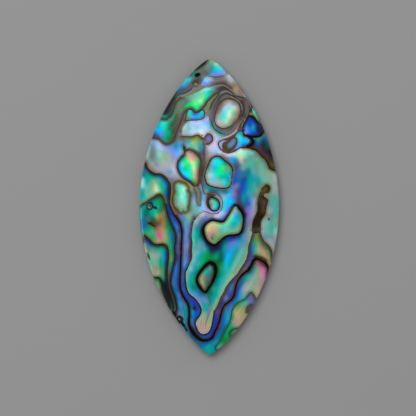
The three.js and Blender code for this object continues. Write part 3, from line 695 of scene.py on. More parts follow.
    ("lichen", (-8.05, 7.65), (-7.95, 7.3)), ("ash", (-8.35, 7.45), (-8.2, 7.1)), ("pewter", (-8.1, 6.7)),
    ("lilac", (-7.4, 9.05)), ("ice", (-6.95, 8.95), (-7.05, 8.5)), ("mist", (-7.3, 8.6), (-7.25, 8.1)),
    ("lilac", (-6.7, 8.5), (-6.7, 8.1)), ("haze", (-6.4, 8.1)), ("mint", (-7.0, 7.45)),
    ("verdigris", (-7.25, 7.1), (-7.2, 6.7)), ("sage", (-6.45, 7.6), (-6.3, 7.1)),
    ("sage", (-5.95, 7.5), (-6.0, 6.9)), ("silver", (-5.65, 7.2), (-5.6, 6.6)),
    ("silver", (-6.8, 6.7), (-6.8, 6.1)), ("sea_grey", (-7.65, 6.7)),
    ("haze", (-7.9, 6.3), (-7.6, 5.6), (-7.1, 5.4)), ("pewter", (-7.6, 6.0)), ("silver", (-6.4, 5.8)),
    ("haze", (-6.5, 5.25), (-6.1, 4.75)), ("silver", (-5.6, 6.0), (-5.6, 5.5)),
    ("steel", (-5.75, 5.05), (-5.45, 4.9)), ("lavender", (-4.95, 5.6), (-4.9, 5.0)),
    ("haze", (-5.05, 6.3)), ("heather", (-5.15, 7.3), (-5.1, 6.8)), ("periwinkle", (-4.75, 6.95)),
    ("sky", (-4.6, 7.4)), ("periwinkle", (-5.0, 7.65), (-5.2, 8.1)),
    ("cornflower", (-4.75, 7.9), (-5.4, 8.35)), ("periwinkle", (-5.95, 8.35)), ("steel", (-5.4, 8.6)),
    ("cerulean", (-4.4, 8.2), (-4.2, 8.9)), ("mist", (-4.1, 8.0)), ("petrol", (-4.65, 8.65)),
    ("flint", (-4.6, 9.5)), ("steel", (-4.2, 9.4), (-3.85, 9.15)), ("lavender", (-4.65, 6.3)),
    ("haze", (-4.6, 4.6), (-4.25, 4.2)), ("haze", (-5.4, 4.3)), ("flint", (-5.3, 3.8)),
    ("cocoa", (-8.95, 6.2), (-8.8, 5.9)), ("fawn", (-8.5, 5.5)), ("khaki_grey", (-8.1, 5.25)),
    ("silver", (-8.35, 6.2)),
    # Green left cell
    ("denim", (-9.05, 5.15)), ("petrol", (-9.25, 4.6)), ("jade", (-8.6, 4.7), (-8.2, 4.1)),
    ("teal", (-8.9, 4.1), (-8.85, 3.4)), ("foam", (-9.4, 3.8), (-9.4, 3.1)), ("sage", (-7.8, 3.8)),
    ("khaki", (-7.95, 3.3), (-7.9, 2.7)), ("straw", (-7.6, 2.9), (-7.5, 2.5)), ("frost", (-7.42, 2.25)),
    ("seafoam", (-7.2, 4.0), (-7.1, 3.4)), ("verdigris", (-7.05, 2.5)),
    ("jade", (-6.85, 3.3), (-6.6, 2.6)), ("teal", (-6.35, 3.3), (-6.25, 2.2)),
    ("petrol", (-7.7, 4.4), (-6.8, 4.2)), ("cobalt", (-6.3, 3.85), (-5.95, 3.0)),
    ("navy", (-5.85, 2.4), (-5.9, 1.5)), ("petrol", (-6.1, 1.4)), ("denim", (-6.1, 0.6), (-5.95, 0.0)),
    ("verdigris", (-8.95, 2.9), (-8.85, 1.9)), ("verdigris", (-8.55, 1.4)),
    ("seafoam", (-8.45, 2.6), (-8.3, 3.4)), ("seafoam", (-9.2, 1.1)), ("teal", (-9.45, 2.2), (-9.5, 1.3)),
    ("sage", (-7.9, 1.9)), ("royal", (-5.65, -0.7)), ("teal", (-5.9, -0.4)),
    # Right of the main loop
    ("ash", (-5.3, 2.9), (-5.3, 1.6)), ("dusk", (-5.3, 1.1)), ("ash", (-5.25, 0.4)),
    ("grape", (-4.95, -0.3)), ("dusk", (-4.7, -0.85)), ("grape", (-4.4, -1.25)), ("slate", (-3.9, -1.35)),
    ("steel", (-3.75, -1.7)),
    # Pearl patch and the band round it
    ("mint", (-4.35, 3.2), (-3.3, 2.9)), ("frost", (-3.5, 2.6), (-3.4, 2.1)),
    ("seafoam", (-4.6, 2.9), (-4.65, 2.4)), ("mint", (-4.25, 2.15), (-3.85, 2.0)), ("jade", (-4.5, 1.8)),
    ("frost", (-3.9, 1.5)), ("aqua", (-3.3, 1.7), (-3.25, 1.1)), ("teal", (-3.08, 1.6)),
    ("verdigris", (-4.4, 1.3)), ("mint", (-3.7, 0.8), (-4.0, 1.0)), ("sea_grey", (-4.65, 0.8)),
    ("silver", (-4.0, 0.3)), ("mint", (-3.3, 0.25), (-3.25, -0.55)),
    ("verdigris", (-3.6, -0.3), (-4.2, -0.2)), ("drab", (-3.2, 3.45)),
    ("khaki", (-2.85, 3.1), (-2.75, 2.7)), ("lichen", (-2.75, 2.2), (-2.72, 1.4)),
    ("drab", (-2.75, 0.6), (-2.85, -0.4)), ("taupe", (-3.7, 3.75)), ("drab", (-4.2, 3.75)),
    # Between the tail and the pearl patch
    ("haze", (-2.35, 2.65)), ("flint", (-2.45, 2.25), (-2.15, 1.95)), ("slate", (-2.2, 1.5)),
    ("mist", (-2.05, 1.0), (-2.25, 0.5)), ("heather", (-2.45, 1.2)), ("seafoam", (-2.05, 0.1)),
    ("verdigris", (-1.9, -0.35), (-2.0, -0.8)), ("steel", (-2.4, -0.6)),
    ("sage", (-2.65, -1.1), (-2.95, -1.4)), ("flint", (-2.2, -1.3)),
    # Right of the tail
    ("haze", (-1.25, 2.8)), ("pewter", (-1.25, 3.2)), ("steel", (-1.1, 2.1)), ("cornflower", (-1.0, 1.3)),
    ("mist", (-0.65, 1.5), (-0.75, 0.6)), ("sky", (-1.15, 0.2)), ("mist", (-1.3, -0.4)),
    ("lilac", (-0.6, -0.1), (-0.35, -0.45)), ("flint", (-0.85, 3.7)), ("denim", (-0.65, 3.15)),
    ("teal", (-0.3, 2.75)), ("sage", (-0.5, 2.35)), ("petrol", (0.1, 2.5), (1.2, 2.35)),
    ("spruce", (2.0, 2.3)), ("bottle", (2.4, 2.25)), ("steel", (1.6, 1.95)), ("mist", (2.0, 1.5)),
    ("ice", (-0.95, 0.4)),
    # Ringed oval
    ("jade", (0.45, 1.15)), ("lavender", (0.2, 0.9)), ("pink", (0.1, 0.5)), ("olive", (0.35, 0.3)),
    ("mint", (0.6, 0.7), (0.6, 0.1)), ("seafoam", (0.95, 0.75)), ("cyan", (1.05, 0.3)),
    ("azure", (0.95, -0.1)), ("frost", (0.5, -0.25)), ("walnut", (-0.05, 1.4)), ("cocoa", (-0.25, 0.6)),
    ("silver", (1.5, 1.2), (1.72, 0.6)), ("lilac", (1.5, -0.4), (1.0, -0.72), (0.4, -0.75)),
    ("pink", (1.6, 0.15)),
    # Pale blue field right of the ringed oval
    ("foam", (1.9, 1.1), (1.95, 0.2)), ("frost", (1.7, -0.65)), ("cyan", (2.2, 0.5), (2.05, -0.3)),
    ("azure", (2.6, 0.7)), ("cyan", (3.0, 0.8), (3.1, 0.4)), ("sky", (2.5, 1.5), (2.9, 1.8)),
    ("azure", (3.15, 1.1)), ("periwinkle", (2.6, 0.0), (2.4, -0.7)), ("lilac", (2.6, -0.95)),
    ("cornflower", (2.75, -0.4)), ("periwinkle", (2.2, -1.2)), ("cornflower", (1.8, -1.6)),
    ("lavender", (1.6, -1.0)), ("blush", (1.25, -1.15)), ("lavender", (0.9, -1.4)),
    ("pearl", (-0.9, -0.95)), ("silver", (0.0, -1.15)), ("flint", (0.3, -1.5)), ("slate", (-0.5, -1.4)),
    ("cerulean", (3.5, 0.65)), ("flint", (3.9, 0.6)), ("cornflower", (3.3, 2.2), (3.3, 1.7)),
    ("cerulean", (2.85, 2.3)),
    # Dark corner under the lobe
    ("sepia", (7.0, 8.05)), ("plum", (7.5, 7.9), (7.9, 7.5)), ("charcoal", (8.0, 8.2)),
    ("bottle", (8.35, 8.6)), ("ink", (8.3, 7.7)), ("grape", (8.3, 7.35)), ("walnut", (8.5, 6.9)),
    ("black", (8.65, 7.3)), ("dark_olive", (8.5, 6.4)), ("olive", (8.8, 5.9)),
    ("dark_olive", (8.95, 5.5)), ("indigo", (6.8, 8.55)), ("ink", (7.6, 8.8)),
    ("sepia", (6.1, 8.5), (6.3, 8.9)), ("dusk", (7.3, 8.3)),
    # Right field, top
    ("frost", (4.2, 8.0), (4.6, 7.9)), ("mint", (3.8, 7.3)), ("mint", (4.9, 7.3), (5.3, 7.7)),
    ("straw", (4.3, 7.4)), ("cream", (4.55, 7.0), (4.6, 6.5)), ("verdigris", (4.45, 6.15)),
    ("pearl", (5.0, 7.95)), ("silver", (5.6, 8.15)), ("aqua", (6.0, 7.65)), ("seafoam", (5.6, 7.4)),
    ("pewter", (6.5, 7.45), (6.9, 7.5)), ("sea_grey", (5.9, 7.0)), ("sea_grey", (7.2, 6.9), (7.8, 6.4)),
    ("verdigris", (6.8, 6.8)), ("taupe", (4.95, 6.6)), ("seafoam", (5.5, 6.5), (5.6, 5.7)),
    ("seafoam", (6.3, 6.4), (6.2, 4.9)), ("sea_grey", (6.65, 5.9), (6.6, 5.2)), ("fern", (6.95, 6.3)),
    ("verdigris", (7.2, 5.9), (7.5, 5.3), (7.4, 4.6)), ("sea_grey", (8.0, 5.7)), ("seafoam", (5.0, 5.7)),
    ("silver", (4.75, 5.5)),
    # Right field, foot
    ("sage", (8.3, 4.8), (8.8, 4.3)), ("sage", (8.8, 3.4)), ("silver", (9.25, 4.9), (9.45, 3.3)),
    ("lavender", (9.4, 4.1)), ("silver", (9.2, 2.9)), ("verdigris", (7.6, 4.0), (8.4, 3.9)),
    ("seafoam", (6.3, 2.5), (6.4, 3.3)), ("petrol", (5.5, 5.3), (5.4, 4.6)),
    ("teal", (5.6, 4.1), (5.5, 3.3)), ("teal", (5.95, 4.2), (6.4, 3.6)), ("steel", (6.5, 4.1)),
    ("teal", (6.85, 3.95)), ("sea_grey", (7.3, 3.25)), ("sea_grey", (6.6, 2.9)), ("petrol", (6.9, 3.1)),
    ("seafoam", (7.15, 2.95)), ("sage", (6.9, 2.4)), ("lichen", (7.3, 2.7)), ("teal", (5.5, 2.8)),
    ("azure", (3.3, 6.6)), ("cornflower", (3.2, 7.0)), ("petrol", (3.6, 6.6)),
    ("denim", (3.8, 6.3), (4.2, 5.5)), ("denim", (4.35, 5.0), (4.3, 4.2)), ("plum", (3.7, 5.6)),
    ("navy", (4.1, 5.9)), ("cobalt", (3.75, 4.8), (3.65, 4.1)), ("indigo", (3.48, 4.4)),
    ("royal", (3.55, 3.5)), ("petrol", (4.75, 4.8), (4.35, 3.6)), ("slate", (4.8, 4.4)),
    ("navy", (5.05, 4.0)), ("royal", (4.75, 3.4)), ("cobalt", (5.05, 3.5), (5.0, 2.6)),
    ("steel", (4.0, 3.1)), ("indigo", (4.5, 2.7), (4.2, 2.1)), ("heather", (3.6, 2.9)),
    ("mauve", (3.8, 2.3)), ("indigo", (4.35, 1.7), (4.3, 1.2)), ("plum", (4.05, 1.9)),
    ("pink", (3.65, 1.9)), ("mauve", (3.85, 1.5)), ("slate", (3.5, 1.3)),
    ("plum", (4.0, 0.95), (4.45, 0.3)), ("teal", (4.85, 1.7), (4.85, 1.0)),
    ("petrol", (4.95, 0.5), (5.45, 1.2)), ("cobalt", (4.75, 2.1)), ("charcoal", (4.85, -0.2)),
    ("cerulean", (5.5, 2.0), (5.7, 2.4)), ("steel", (5.9, 1.4)), ("cornflower", (5.8, 0.9)),
    ("royal", (5.5, 0.4)), ("slate", (5.6, 0.1)), ("violet", (5.3, -0.5)),
    ("violet", (5.75, -0.7), (5.75, -1.4)), ("haze", (6.35, 0.9), (6.3, 0.0)),
    ("haze", (6.1, -0.9), (6.05, -1.4)), ("plum", (5.15, -1.0)), ("slate", (5.5, -1.9)),
    ("heather", (5.8, -2.2)), ("flint", (5.2, -2.4), (5.1, -3.1)), ("haze", (5.85, -3.0)),
    ("pewter", (6.4, 1.8)), ("jade", (6.0, 2.4)), ("seafoam", (6.25, 2.0)),
    # Scar
    ("dark_olive", (8.35, 2.6)), ("olive", (7.85, 2.5), (7.5, 2.0)), ("walnut", (7.3, 1.5)),
    ("umber", (7.7, 1.2)), ("sepia", (7.3, 0.8)), ("cocoa", (7.85, 0.9), (7.8, 0.3)),
    ("umber", (7.4, 0.2)), ("umber", (7.1, -0.3), (7.3, -0.7)), ("olive", (7.85, -0.4)),
    ("walnut", (7.5, -0.2)), ("umber", (7.1, -1.3), (7.4, -1.4)), ("umber", (6.7, -1.9), (7.1, -1.8)),
    ("umber", (6.75, -2.3), (7.0, -2.9)), ("umber", (6.35, -2.6)), ("sepia", (6.7, -2.9)),
    ("umber", (6.5, -3.3)), ("pink", (8.0, 1.75)), ("taupe", (8.3, 1.65)),
    # Right pale cell, top
    ("silver", (9.15, 2.5)), ("verdigris", (8.6, 2.1)), ("seafoam", (8.5, 1.4), (9.0, 0.7)),
    ("steel", (8.55, 0.2)), ("silver", (8.3, -0.2), (8.45, -0.8)), ("pewter", (8.5, -1.25)),
    ("stone", (8.0, -1.2)), ("silver", (7.9, -1.7)), ("mist", (7.75, -2.2)), ("verdigris", (8.0, -2.7)),
    ("seafoam", (8.4, -2.9)), ("silver", (7.5, -2.9)),
    # Eye cell
    ("dark_olive", (-8.5, -2.15), (-7.8, -2.25)), ("petrol", (-7.95, 0.9)), ("teal", (-7.5, 0.75)),
    ("leaf", (-7.2, 0.9), (-6.8, 0.6)), ("jade", (-7.2, 0.35)), ("teal", (-7.0, -0.1)),
    ("moss", (-6.5, 0.2), (-7.1, -0.6)), ("drab", (-6.55, -0.5)), ("salmon", (-6.5, -1.1), (-6.4, -1.6)),
    ("ochre", (-6.95, -1.3)), ("khaki", (-7.25, -1.25)), ("jade", (-7.5, -0.75), (-7.9, -1.2)),
    ("turquoise", (-7.45, -0.4)), ("teal", (-7.75, -0.5), (-8.2, -0.7)), ("lime", (-7.5, -1.1)),
    ("teal", (-9.6, -0.4), (-9.6, -1.5)), ("teal", (-9.3, 0.0)), ("bottle", (-8.9, -0.5), (-8.9, -1.2)),
    ("petrol", (-8.25, -1.4)), ("flint", (-8.65, -1.6), (-8.5, -2.1)), ("bottle", (-7.85, -1.7)),
    ("moss", (-8.0, -2.05)), ("olive", (-6.25, -1.5)), ("moss", (-6.02, -1.5)), ("leaf", (-5.97, -2.0)),
    ("salmon", (-7.3, -1.75)), ("olive", (-7.0, -1.7)), ("brown", (-6.92, -2.1)),
    ("bronze", (-6.9, -2.5)), ("salmon", (-6.6, -2.2), (-6.45, -2.8)), ("russet", (-7.32, -2.25)),
    ("spruce", (-7.55, -2.3)), ("olive", (-7.7, -3.0)), ("petrol", (-9.3, -1.8), (-9.55, -2.6)),
    ("cobalt", (-9.15, -2.2), (-9.25, -2.8)), ("teal", (-9.2, -3.4)), ("jade", (-8.6, -3.1)),
    ("leaf", (-8.5, -3.3)), ("seafoam", (-8.5, -3.75), (-8.0, -3.4)),
    ("jade", (-8.2, -3.9), (-8.1, -4.4)), ("fern", (-8.65, -4.05)), ("fern", (-7.8, -4.3), (-7.8, -4.8)),
    ("rose", (-7.2, -3.1), (-7.2, -3.6)), ("salmon", (-6.9, -3.0), (-6.9, -3.5)),
    ("rose", (-7.1, -4.1), (-6.8, -4.2)), ("pink", (-6.5, -4.1)), ("khaki", (-6.2, -3.3), (-6.15, -4.3)),
    ("rose", (-7.1, -4.55)), ("sand", (-7.3, -4.85), (-6.9, -5.0)), ("khaki", (-6.4, -4.85)),
    ("ochre", (-6.25, -2.4)), ("leaf", (-6.08, -2.8)), ("jade", (-5.85, -2.9), (-5.8, -3.5)),
    ("bottle", (-5.8, -2.3), (-5.5, -3.2)), ("fern", (-5.9, -4.2), (-5.9, -4.95)),
    ("teal", (-5.55, -4.2), (-5.55, -4.8)), ("petrol", (-5.35, -3.7)), ("cobalt", (-5.12, -4.2)),
    ("navy", (-4.97, -4.4)), ("petrol", (-5.2, -4.9), (-5.1, -5.5)), ("jade", (-5.6, -5.4)),
    ("teal", (-5.35, -5.7)), ("jade", (-5.3, -6.3)), ("fern", (-5.5, -6.8)), ("leaf", (-5.15, -6.7)),
    ("drab", (-5.2, -7.2)), ("sage", (-5.45, -7.3)),
    # Strip between the eye seam and the main loop, upper part
    ("cerulean", (-5.45, -1.7)), ("cobalt", (-5.25, -1.4)), ("royal", (-5.0, -1.8)),
    ("lagoon", (-5.1, -2.2)), ("cobalt", (-4.9, -2.3)), ("indigo", (-4.75, -1.95), (-4.45, -2.4)),
    ("cerulean", (-4.85, -2.7)), ("cornflower", (-4.55, -2.9)), ("cerulean", (-4.55, -3.4)),
    ("navy", (-4.3, -3.3)), ("steel", (-4.42, -4.0), (-4.5, -5.0)),
    ("slate", (-4.6, -5.5), (-4.62, -6.3)), ("plum", (-4.28, -5.1)), ("plum", (-4.22, -5.9)),
    ("indigo", (-4.6, -6.9)), ("navy", (-4.4, -7.3)),
    # Lower left cell, top
    ("petrol", (-9.1, -4.4), (-9.2, -4.9)), ("navy", (-8.85, -4.5)), ("indigo", (-8.6, -4.9)),
    ("navy", (-8.4, -5.1)), ("petrol", (-8.3, -5.4)), ("teal", (-8.0, -5.6)), ("spruce", (-7.2, -5.6)),
    ("jade", (-7.3, -5.9), (-6.8, -5.9)), ("leaf", (-6.45, -5.8)), ("teal", (-6.35, -6.3)),
    ("cobalt", (-6.15, -6.3)), ("royal", (-6.02, -6.8)), ("cerulean", (-6.3, -6.9)),
    ("teal", (-6.6, -6.6)), ("seafoam", (-6.9, -6.4)), ("verdigris", (-6.8, -7.0)),
    ("pewter", (-7.7, -6.3)), ("silver", (-7.4, -6.6), (-7.8, -6.8)), ("sage", (-7.6, -7.2)),
    ("verdigris", (-8.1, -6.3), (-8.3, -6.9)), ("lichen", (-8.4, -6.2), (-8.85, -5.8)),
    ("sage", (-9.1, -5.3)), ("silver", (-9.15, -6.1)), ("oatmeal", (-9.1, -6.6)),
    # Strip between the main and inner loops, left side
    ("slate", (-3.9, -1.4)), ("petrol", (-3.65, -1.75)), ("sage", (-3.0, -1.45)),
    ("seafoam", (-2.9, -1.95), (-3.2, -2.2)), ("steel", (-3.3, -2.5), (-2.85, -2.6)),
    ("cornflower", (-3.1, -3.0), (-3.2, -3.6)), ("heather", (-2.75, -3.3)),
    ("denim", (-2.9, -3.9), (-3.05, -4.4)), ("mist", (-3.47, -4.3)),
    ("cornflower", (-3.5, -5.0), (-3.3, -4.6)), ("slate", (-3.05, -5.0)), ("heather", (-2.9, -5.5)),
    ("mist", (-3.62, -5.7)), ("steel", (-3.5, -6.3), (-3.5, -7.2)),
    ("slate", (-3.3, -5.8), (-3.15, -6.5)), ("mauve", (-2.78, -6.3)), ("indigo", (-2.85, -7.0)),
    ("slate", (-3.1, -7.2), (-3.0, -7.6)), ("cornflower", (-3.35, -7.7), (-3.4, -8.3)),
    ("cerulean", (-3.7, -7.9), (-3.75, -8.3)), ("cobalt", (-3.6, -8.9)), ("steel", (-3.85, -9.2)),
    ("mauve", (-3.6, -9.75)), ("cornflower", (-3.92, -9.9), (-3.95, -10.5)), ("cobalt", (-3.7, -10.6)),
    ("indigo", (-3.6, -11.2)), ("cerulean", (-3.8, -11.6)), ("cobalt", (-3.5, -12.1), (-3.3, -12.6)),
    ("indigo", (-3.2, -12.3), (-2.9, -12.75)), ("cobalt", (-3.0, -13.0), (-2.85, -13.4)),
    ("indigo", (-2.5, -13.05)), ("royal", (-2.2, -13.3)), ("indigo", (-1.8, -13.9)),
    ("teal", (-2.7, -14.1)), ("navy", (-2.1, -14.3)), ("lagoon", (-2.5, -14.9)),
    ("cobalt", (-2.0, -15.3), (-2.2, -16.0)), ("steel", (-2.5, -16.2)), ("plum", (-1.9, -17.9)),
    ("petrol", (-0.8, -18.4)), ("cobalt", (-0.1, -18.3)), ("royal", (0.5, -17.4), (0.85, -16.3)),
    ("indigo", (1.1, -15.4)), ("mauve", (1.1, -14.6)), ("indigo", (1.5, -14.1)), ("navy", (1.9, -13.2)),
    ("steel", (2.3, -12.9)), ("indigo", (2.8, -12.4)), ("denim", (3.1, -11.6), (3.4, -10.9)),
    ("mauve", (3.9, -10.0)),
    # The same strip, right side
    ("pewter", (4.75, -9.15)), ("chestnut", (4.35, -9.15)), ("cocoa", (4.6, -8.85)),
    ("haze", (5.0, -8.85)), ("grape", (5.15, -8.35)), ("slate", (5.5, -8.0)),
    ("indigo", (5.55, -7.5), (5.75, -6.9)), ("plum", (5.45, -7.1)), ("slate", (5.8, -7.3)),
    ("plum", (5.72, -6.0)), ("royal", (5.9, -6.6), (5.9, -5.9)), ("denim", (5.95, -5.4)),
    # Field left of the bone
    ("foam", (-1.85, -1.95)), ("silver", (-1.5, -1.6)), ("haze", (-1.65, -2.1)),
    ("pewter", (-1.75, -2.55)), ("flint", (-1.3, -2.1)), ("denim", (-0.7, -1.95), (-0.95, -2.3)),
    ("petrol", (-1.2, -2.7)), ("slate", (-0.3, -1.65)), ("steel", (-2.15, -2.6), (-2.15, -3.1)),
    ("teal", (-1.7, -3.2), (-1.5, -3.6)), ("verdigris", (-2.37, -3.5)), ("turquoise", (-2.15, -4.0)),
    ("teal", (-1.85, -4.3), (-1.85, -5.0)), ("bottle", (-1.2, -3.4), (-1.2, -4.1)),
    ("sea_grey", (-1.3, -4.75), (-1.2, -5.35)), ("petrol", (-0.95, -4.5)), ("cerulean", (-0.8, -5.1)),
    ("mint", (-2.25, -4.9)), ("seafoam", (-1.5, -5.4), (-2.15, -5.7)),
    ("steel", (-1.65, -5.8), (-1.2, -5.75)), ("sage", (-0.75, -5.85)), ("teal", (-0.45, -5.65)),
    ("mist", (-1.75, -6.4)), ("cerulean", (-1.2, -6.3)), ("verdigris", (-2.2, -6.4)),
    ("jade", (-0.45, -6.35), (-0.6, -6.8)), ("leaf", (-0.2, -6.8), (-0.5, -7.25)),
    ("teal", (-1.1, -6.8), (-1.6, -7.6)), ("mist", (-2.1, -7.1), (-2.15, -7.6)),
    ("jade", (-0.9, -7.4), (-1.2, -8.2)), ("navy", (-0.25, -5.25)),
    # Under the bone
    ("ink", (0.3, -5.75), (1.3, -5.8)), ("navy", (0.4, -6.2)), ("navy", (1.6, -5.35)),
    ("petrol", (1.2, -6.5)), ("bottle", (0.4, -6.75)), ("leaf", (0.35, -7.05)), ("jade", (0.95, -7.0)),
    ("bottle", (1.65, -6.3), (1.75, -7.4)), ("bottle", (2.1, -4.95)), ("teal", (2.3, -5.4), (2.15, -6.3)),
    ("cobalt", (2.65, -4.6)), ("royal", (3.05, -4.55)), ("navy", (3.45, -4.3)), ("indigo", (3.95, -4.35)),
    ("slate", (3.75, -4.75)), ("heather", (3.2, -5.05)), ("slate", (2.9, -5.35)),
    ("cornflower", (3.5, -5.3), (2.85, -6.2)), ("cobalt", (4.2, -4.35)),
    ("cerulean", (4.1, -4.95), (3.3, -6.0)), ("teal", (4.45, -4.6)), ("steel", (4.8, -3.8), (5.1, -4.4)),
    ("petrol", (4.95, -3.3)), ("steel", (4.8, -4.9), (4.3, -5.8)), ("haze", (5.65, -3.3), (5.65, -4.6)),
    ("sea_grey", (5.3, -3.8), (5.3, -5.3)), ("azure", (2.85, -6.6), (2.5, -7.5)),
    ("lagoon", (2.5, -7.8), (2.25, -8.8)), ("teal", (2.2, -9.3), (1.35, -11.2), (0.7, -12.5)),
    ("teal", (3.9, -5.9), (3.2, -7.3), (2.9, -8.3)), ("verdigris", (4.6, -6.1), (3.9, -7.5), (3.3, -8.7)),
    ("seafoam", (5.1, -5.8), (4.7, -7.0), (4.2, -8.0)), ("sage", (5.2, -6.7), (4.6, -8.0), (3.8, -9.1)),
    ("seafoam", (2.8, -9.0), (2.1, -10.4), (1.4, -12.3)),
    ("sage", (3.2, -9.8), (2.0, -11.7), (1.6, -12.8)),
    # Bone
    ("straw", (0.3, -2.22), (-0.15, -2.5)), ("lime", (1.0, -2.25)), ("cream", (0.7, -2.6)),
    ("sand", (0.3, -2.8), (0.9, -2.95)), ("apricot", (0.1, -3.15)), ("cream", (-0.35, -3.2)),
    ("khaki", (-0.45, -3.55)), ("pink", (0.25, -3.7), (0.0, -4.2)), ("sand", (0.6, -3.35)),
    ("taupe", (0.5, -3.95)), ("khaki", (1.0, -3.6)), ("sage", (1.2, -3.9), (1.3, -3.2)),
    ("fern", (0.9, -4.5), (1.4, -4.3)), ("mint", (1.6, -2.6)), ("seafoam", (1.9, -2.95), (1.8, -3.5)),
    ("sage", (0.45, -4.95)), ("verdigris", (2.3, -3.5), (3.1, -3.5)), ("aqua", (2.2, -3.15)),
    ("mint", (2.4, -2.3), (2.9, -1.6)), ("frost", (3.05, -1.2)), ("foam", (3.35, -0.6)),
    ("mist", (3.7, -0.65)), ("cerulean", (3.9, -0.85), (3.8, -1.4)), ("lagoon", (4.0, -2.0)),
    ("teal", (4.35, -1.4)), ("turquoise", (3.4, -1.9)), ("teal", (3.5, -2.4)),
    ("seafoam", (2.9, -2.7), (3.3, -3.1)), ("seafoam", (4.1, -2.6)), ("sage", (4.3, -2.8), (4.0, -3.2)),
    # Wedge
    ("olive", (6.5, -3.8)), ("ochre", (6.75, -4.15)), ("fern", (6.4, -4.3), (6.4, -4.75)),
    ("taupe", (6.8, -3.45)), ("drab", (6.95, -4.45), (7.25, -4.7)), ("fern", (7.0, -4.95)),
    ("taupe", (7.5, -5.1)), ("sage", (6.95, -5.3), (6.7, -5.95)), ("sand", (7.1, -5.6), (7.05, -6.0)),
    ("chestnut", (7.5, -5.4)), ("salmon", (7.35, -5.8)), ("sand", (7.7, -6.2), (7.9, -6.9)),
    ("drab", (7.85, -5.6), (8.0, -5.95)), ("moss", (8.2, -5.7)), ("fern", (8.4, -6.2), (8.5, -6.55)),
    ("lichen", (8.45, -6.85)), ("salmon", (8.1, -6.5)), ("khaki", (7.4, -6.8)), ("sage", (6.95, -6.6)),
    ("verdigris", (6.65, -6.4)), ("sand", (8.3, -7.2)), ("salmon", (8.55, -7.5)), ("sand", (8.6, -8.2)),
    ("khaki_grey", (8.78, -7.3)), ("jade", (6.25, -5.0), (6.5, -5.3)),
    ("teal", (6.35, -5.6), (6.35, -6.2)), ("cerulean", (6.12, -6.0)), ("teal", (6.45, -6.55)),
    # Right pale cell, foot
    ("mist", (7.65, -3.4)), ("steel", (8.0, -4.0), (7.95, -4.4)), ("silver", (7.6, -3.95)),
    ("verdigris", (8.3, -3.6)), ("seafoam", (8.8, -3.4), (9.0, -2.8)), ("verdigris", (9.2, -3.5)),
    ("foam", (9.45, -3.5)), ("silver", (9.3, -4.2)), ("sea_grey", (8.7, -4.2)),
    ("silver", (8.4, -4.75), (9.1, -5.4)), ("haze", (9.25, -4.7)), ("oatmeal", (9.05, -6.2)),
    ("fawn", (9.0, -6.9)), ("seafoam", (9.2, -0.3), (9.5, -1.1)), ("seafoam", (8.9, -2.2)),
    ("sage", (9.6, -2.1)),
    # Lower right cell, top
    ("taupe", (6.7, -7.75)), ("magenta", (6.92, -7.85)), ("plum", (7.35, -7.95), (7.7, -8.15)),
    ("magenta", (7.75, -8.45)), ("orchid", (7.5, -8.75), (7.9, -9.1)),
    ("rose", (7.2, -8.4), (6.95, -8.2)), ("sand", (6.85, -8.65)), ("pink", (7.2, -8.95)),
    ("fern", (6.62, -8.2), (6.62, -8.7)), ("bottle", (6.35, -8.15)), ("jade", (6.4, -8.7)),
    ("teal", (6.2, -8.9)), ("cobalt", (5.95, -8.7)), ("royal", (5.8, -9.05)), ("verdigris", (6.5, -9.3)),
    ("teal", (5.8, -9.4)), ("sage", (6.9, -9.2)), ("sand", (7.25, -9.5)), ("orchid", (7.6, -9.6)),
    ("magenta", (8.05, -9.3)),
    # Lower right cell, foot
    ("orchid", (7.9, -9.9)), ("pink", (7.75, -10.5), (7.3, -11.4)), ("sage", (7.1, -10.0)),
    ("silver", (6.4, -9.8)), ("verdigris", (5.75, -9.9)), ("jade", (5.25, -10.1)),
    ("cobalt", (4.75, -10.1), (4.25, -11.0)), ("royal", (4.05, -11.4), (3.85, -12.6)),
    ("petrol", (4.7, -10.8)), ("cerulean", (4.4, -11.9), (4.1, -12.9)),
    ("cobalt", (3.5, -13.3), (2.8, -14.1)), ("violet", (3.2, -13.9)), ("denim", (2.5, -14.4)),
    ("teal", (2.4, -15.4)), ("cerulean", (3.1, -14.2), (2.9, -15.2), (2.6, -16.3)),
    ("oatmeal", (5.1, -11.0), (4.95, -11.7)), ("haze", (5.0, -12.4)),
    ("silver", (5.9, -10.8), (5.6, -11.6)), ("sage", (6.6, -10.9), (6.2, -11.9)),
    ("oatmeal", (6.9, -11.4), (6.6, -12.3)), ("sand", (7.2, -11.9), (6.9, -12.6)),
    ("seafoam", (4.6, -12.9), (5.2, -12.5)), ("teal", (3.9, -13.3)),
    ("cobalt", (2.0, -15.6), (1.8, -16.8)), ("petrol", (2.1, -17.0), (1.5, -18.2)),
    ("plum", (1.2, -17.2)), ("cobalt", (1.1, -18.1), (0.4, -18.9)), ("teal", (1.0, -18.9), (0.6, -19.6)),
    ("cobalt", (-0.6, -19.2)), ("petrol", (-1.3, -19.2)), ("teal", (-0.2, -19.8), (0.3, -20.4)),
    # Field round the lens
    ("steel", (-2.35, -8.15)), ("mint", (-2.72, -8.6)), ("mist", (-2.5, -8.85)), ("teal", (-1.95, -8.6)),
    ("seafoam", (-1.5, -8.0)), ("jade", (-1.4, -8.6)), ("verdigris", (-3.0, -9.2), (-3.1, -10.1)),
    ("cerulean", (-2.85, -9.7)), ("petrol", (-2.2, -9.2)), ("teal", (-2.55, -9.6), (-2.75, -10.6)),
    ("jade", (-2.2, -10.0), (-2.2, -10.8)), ("teal", (-2.8, -11.3), (-2.5, -11.9)),
    ("bottle", (-2.2, -11.3)), ("petrol", (-1.9, -11.6)), ("cobalt", (-1.5, -11.9), (-1.15, -12.3)),
    ("seafoam", (-2.8, -12.0)), ("cerulean", (-2.3, -12.2)), ("steel", (-1.9, -12.2)),
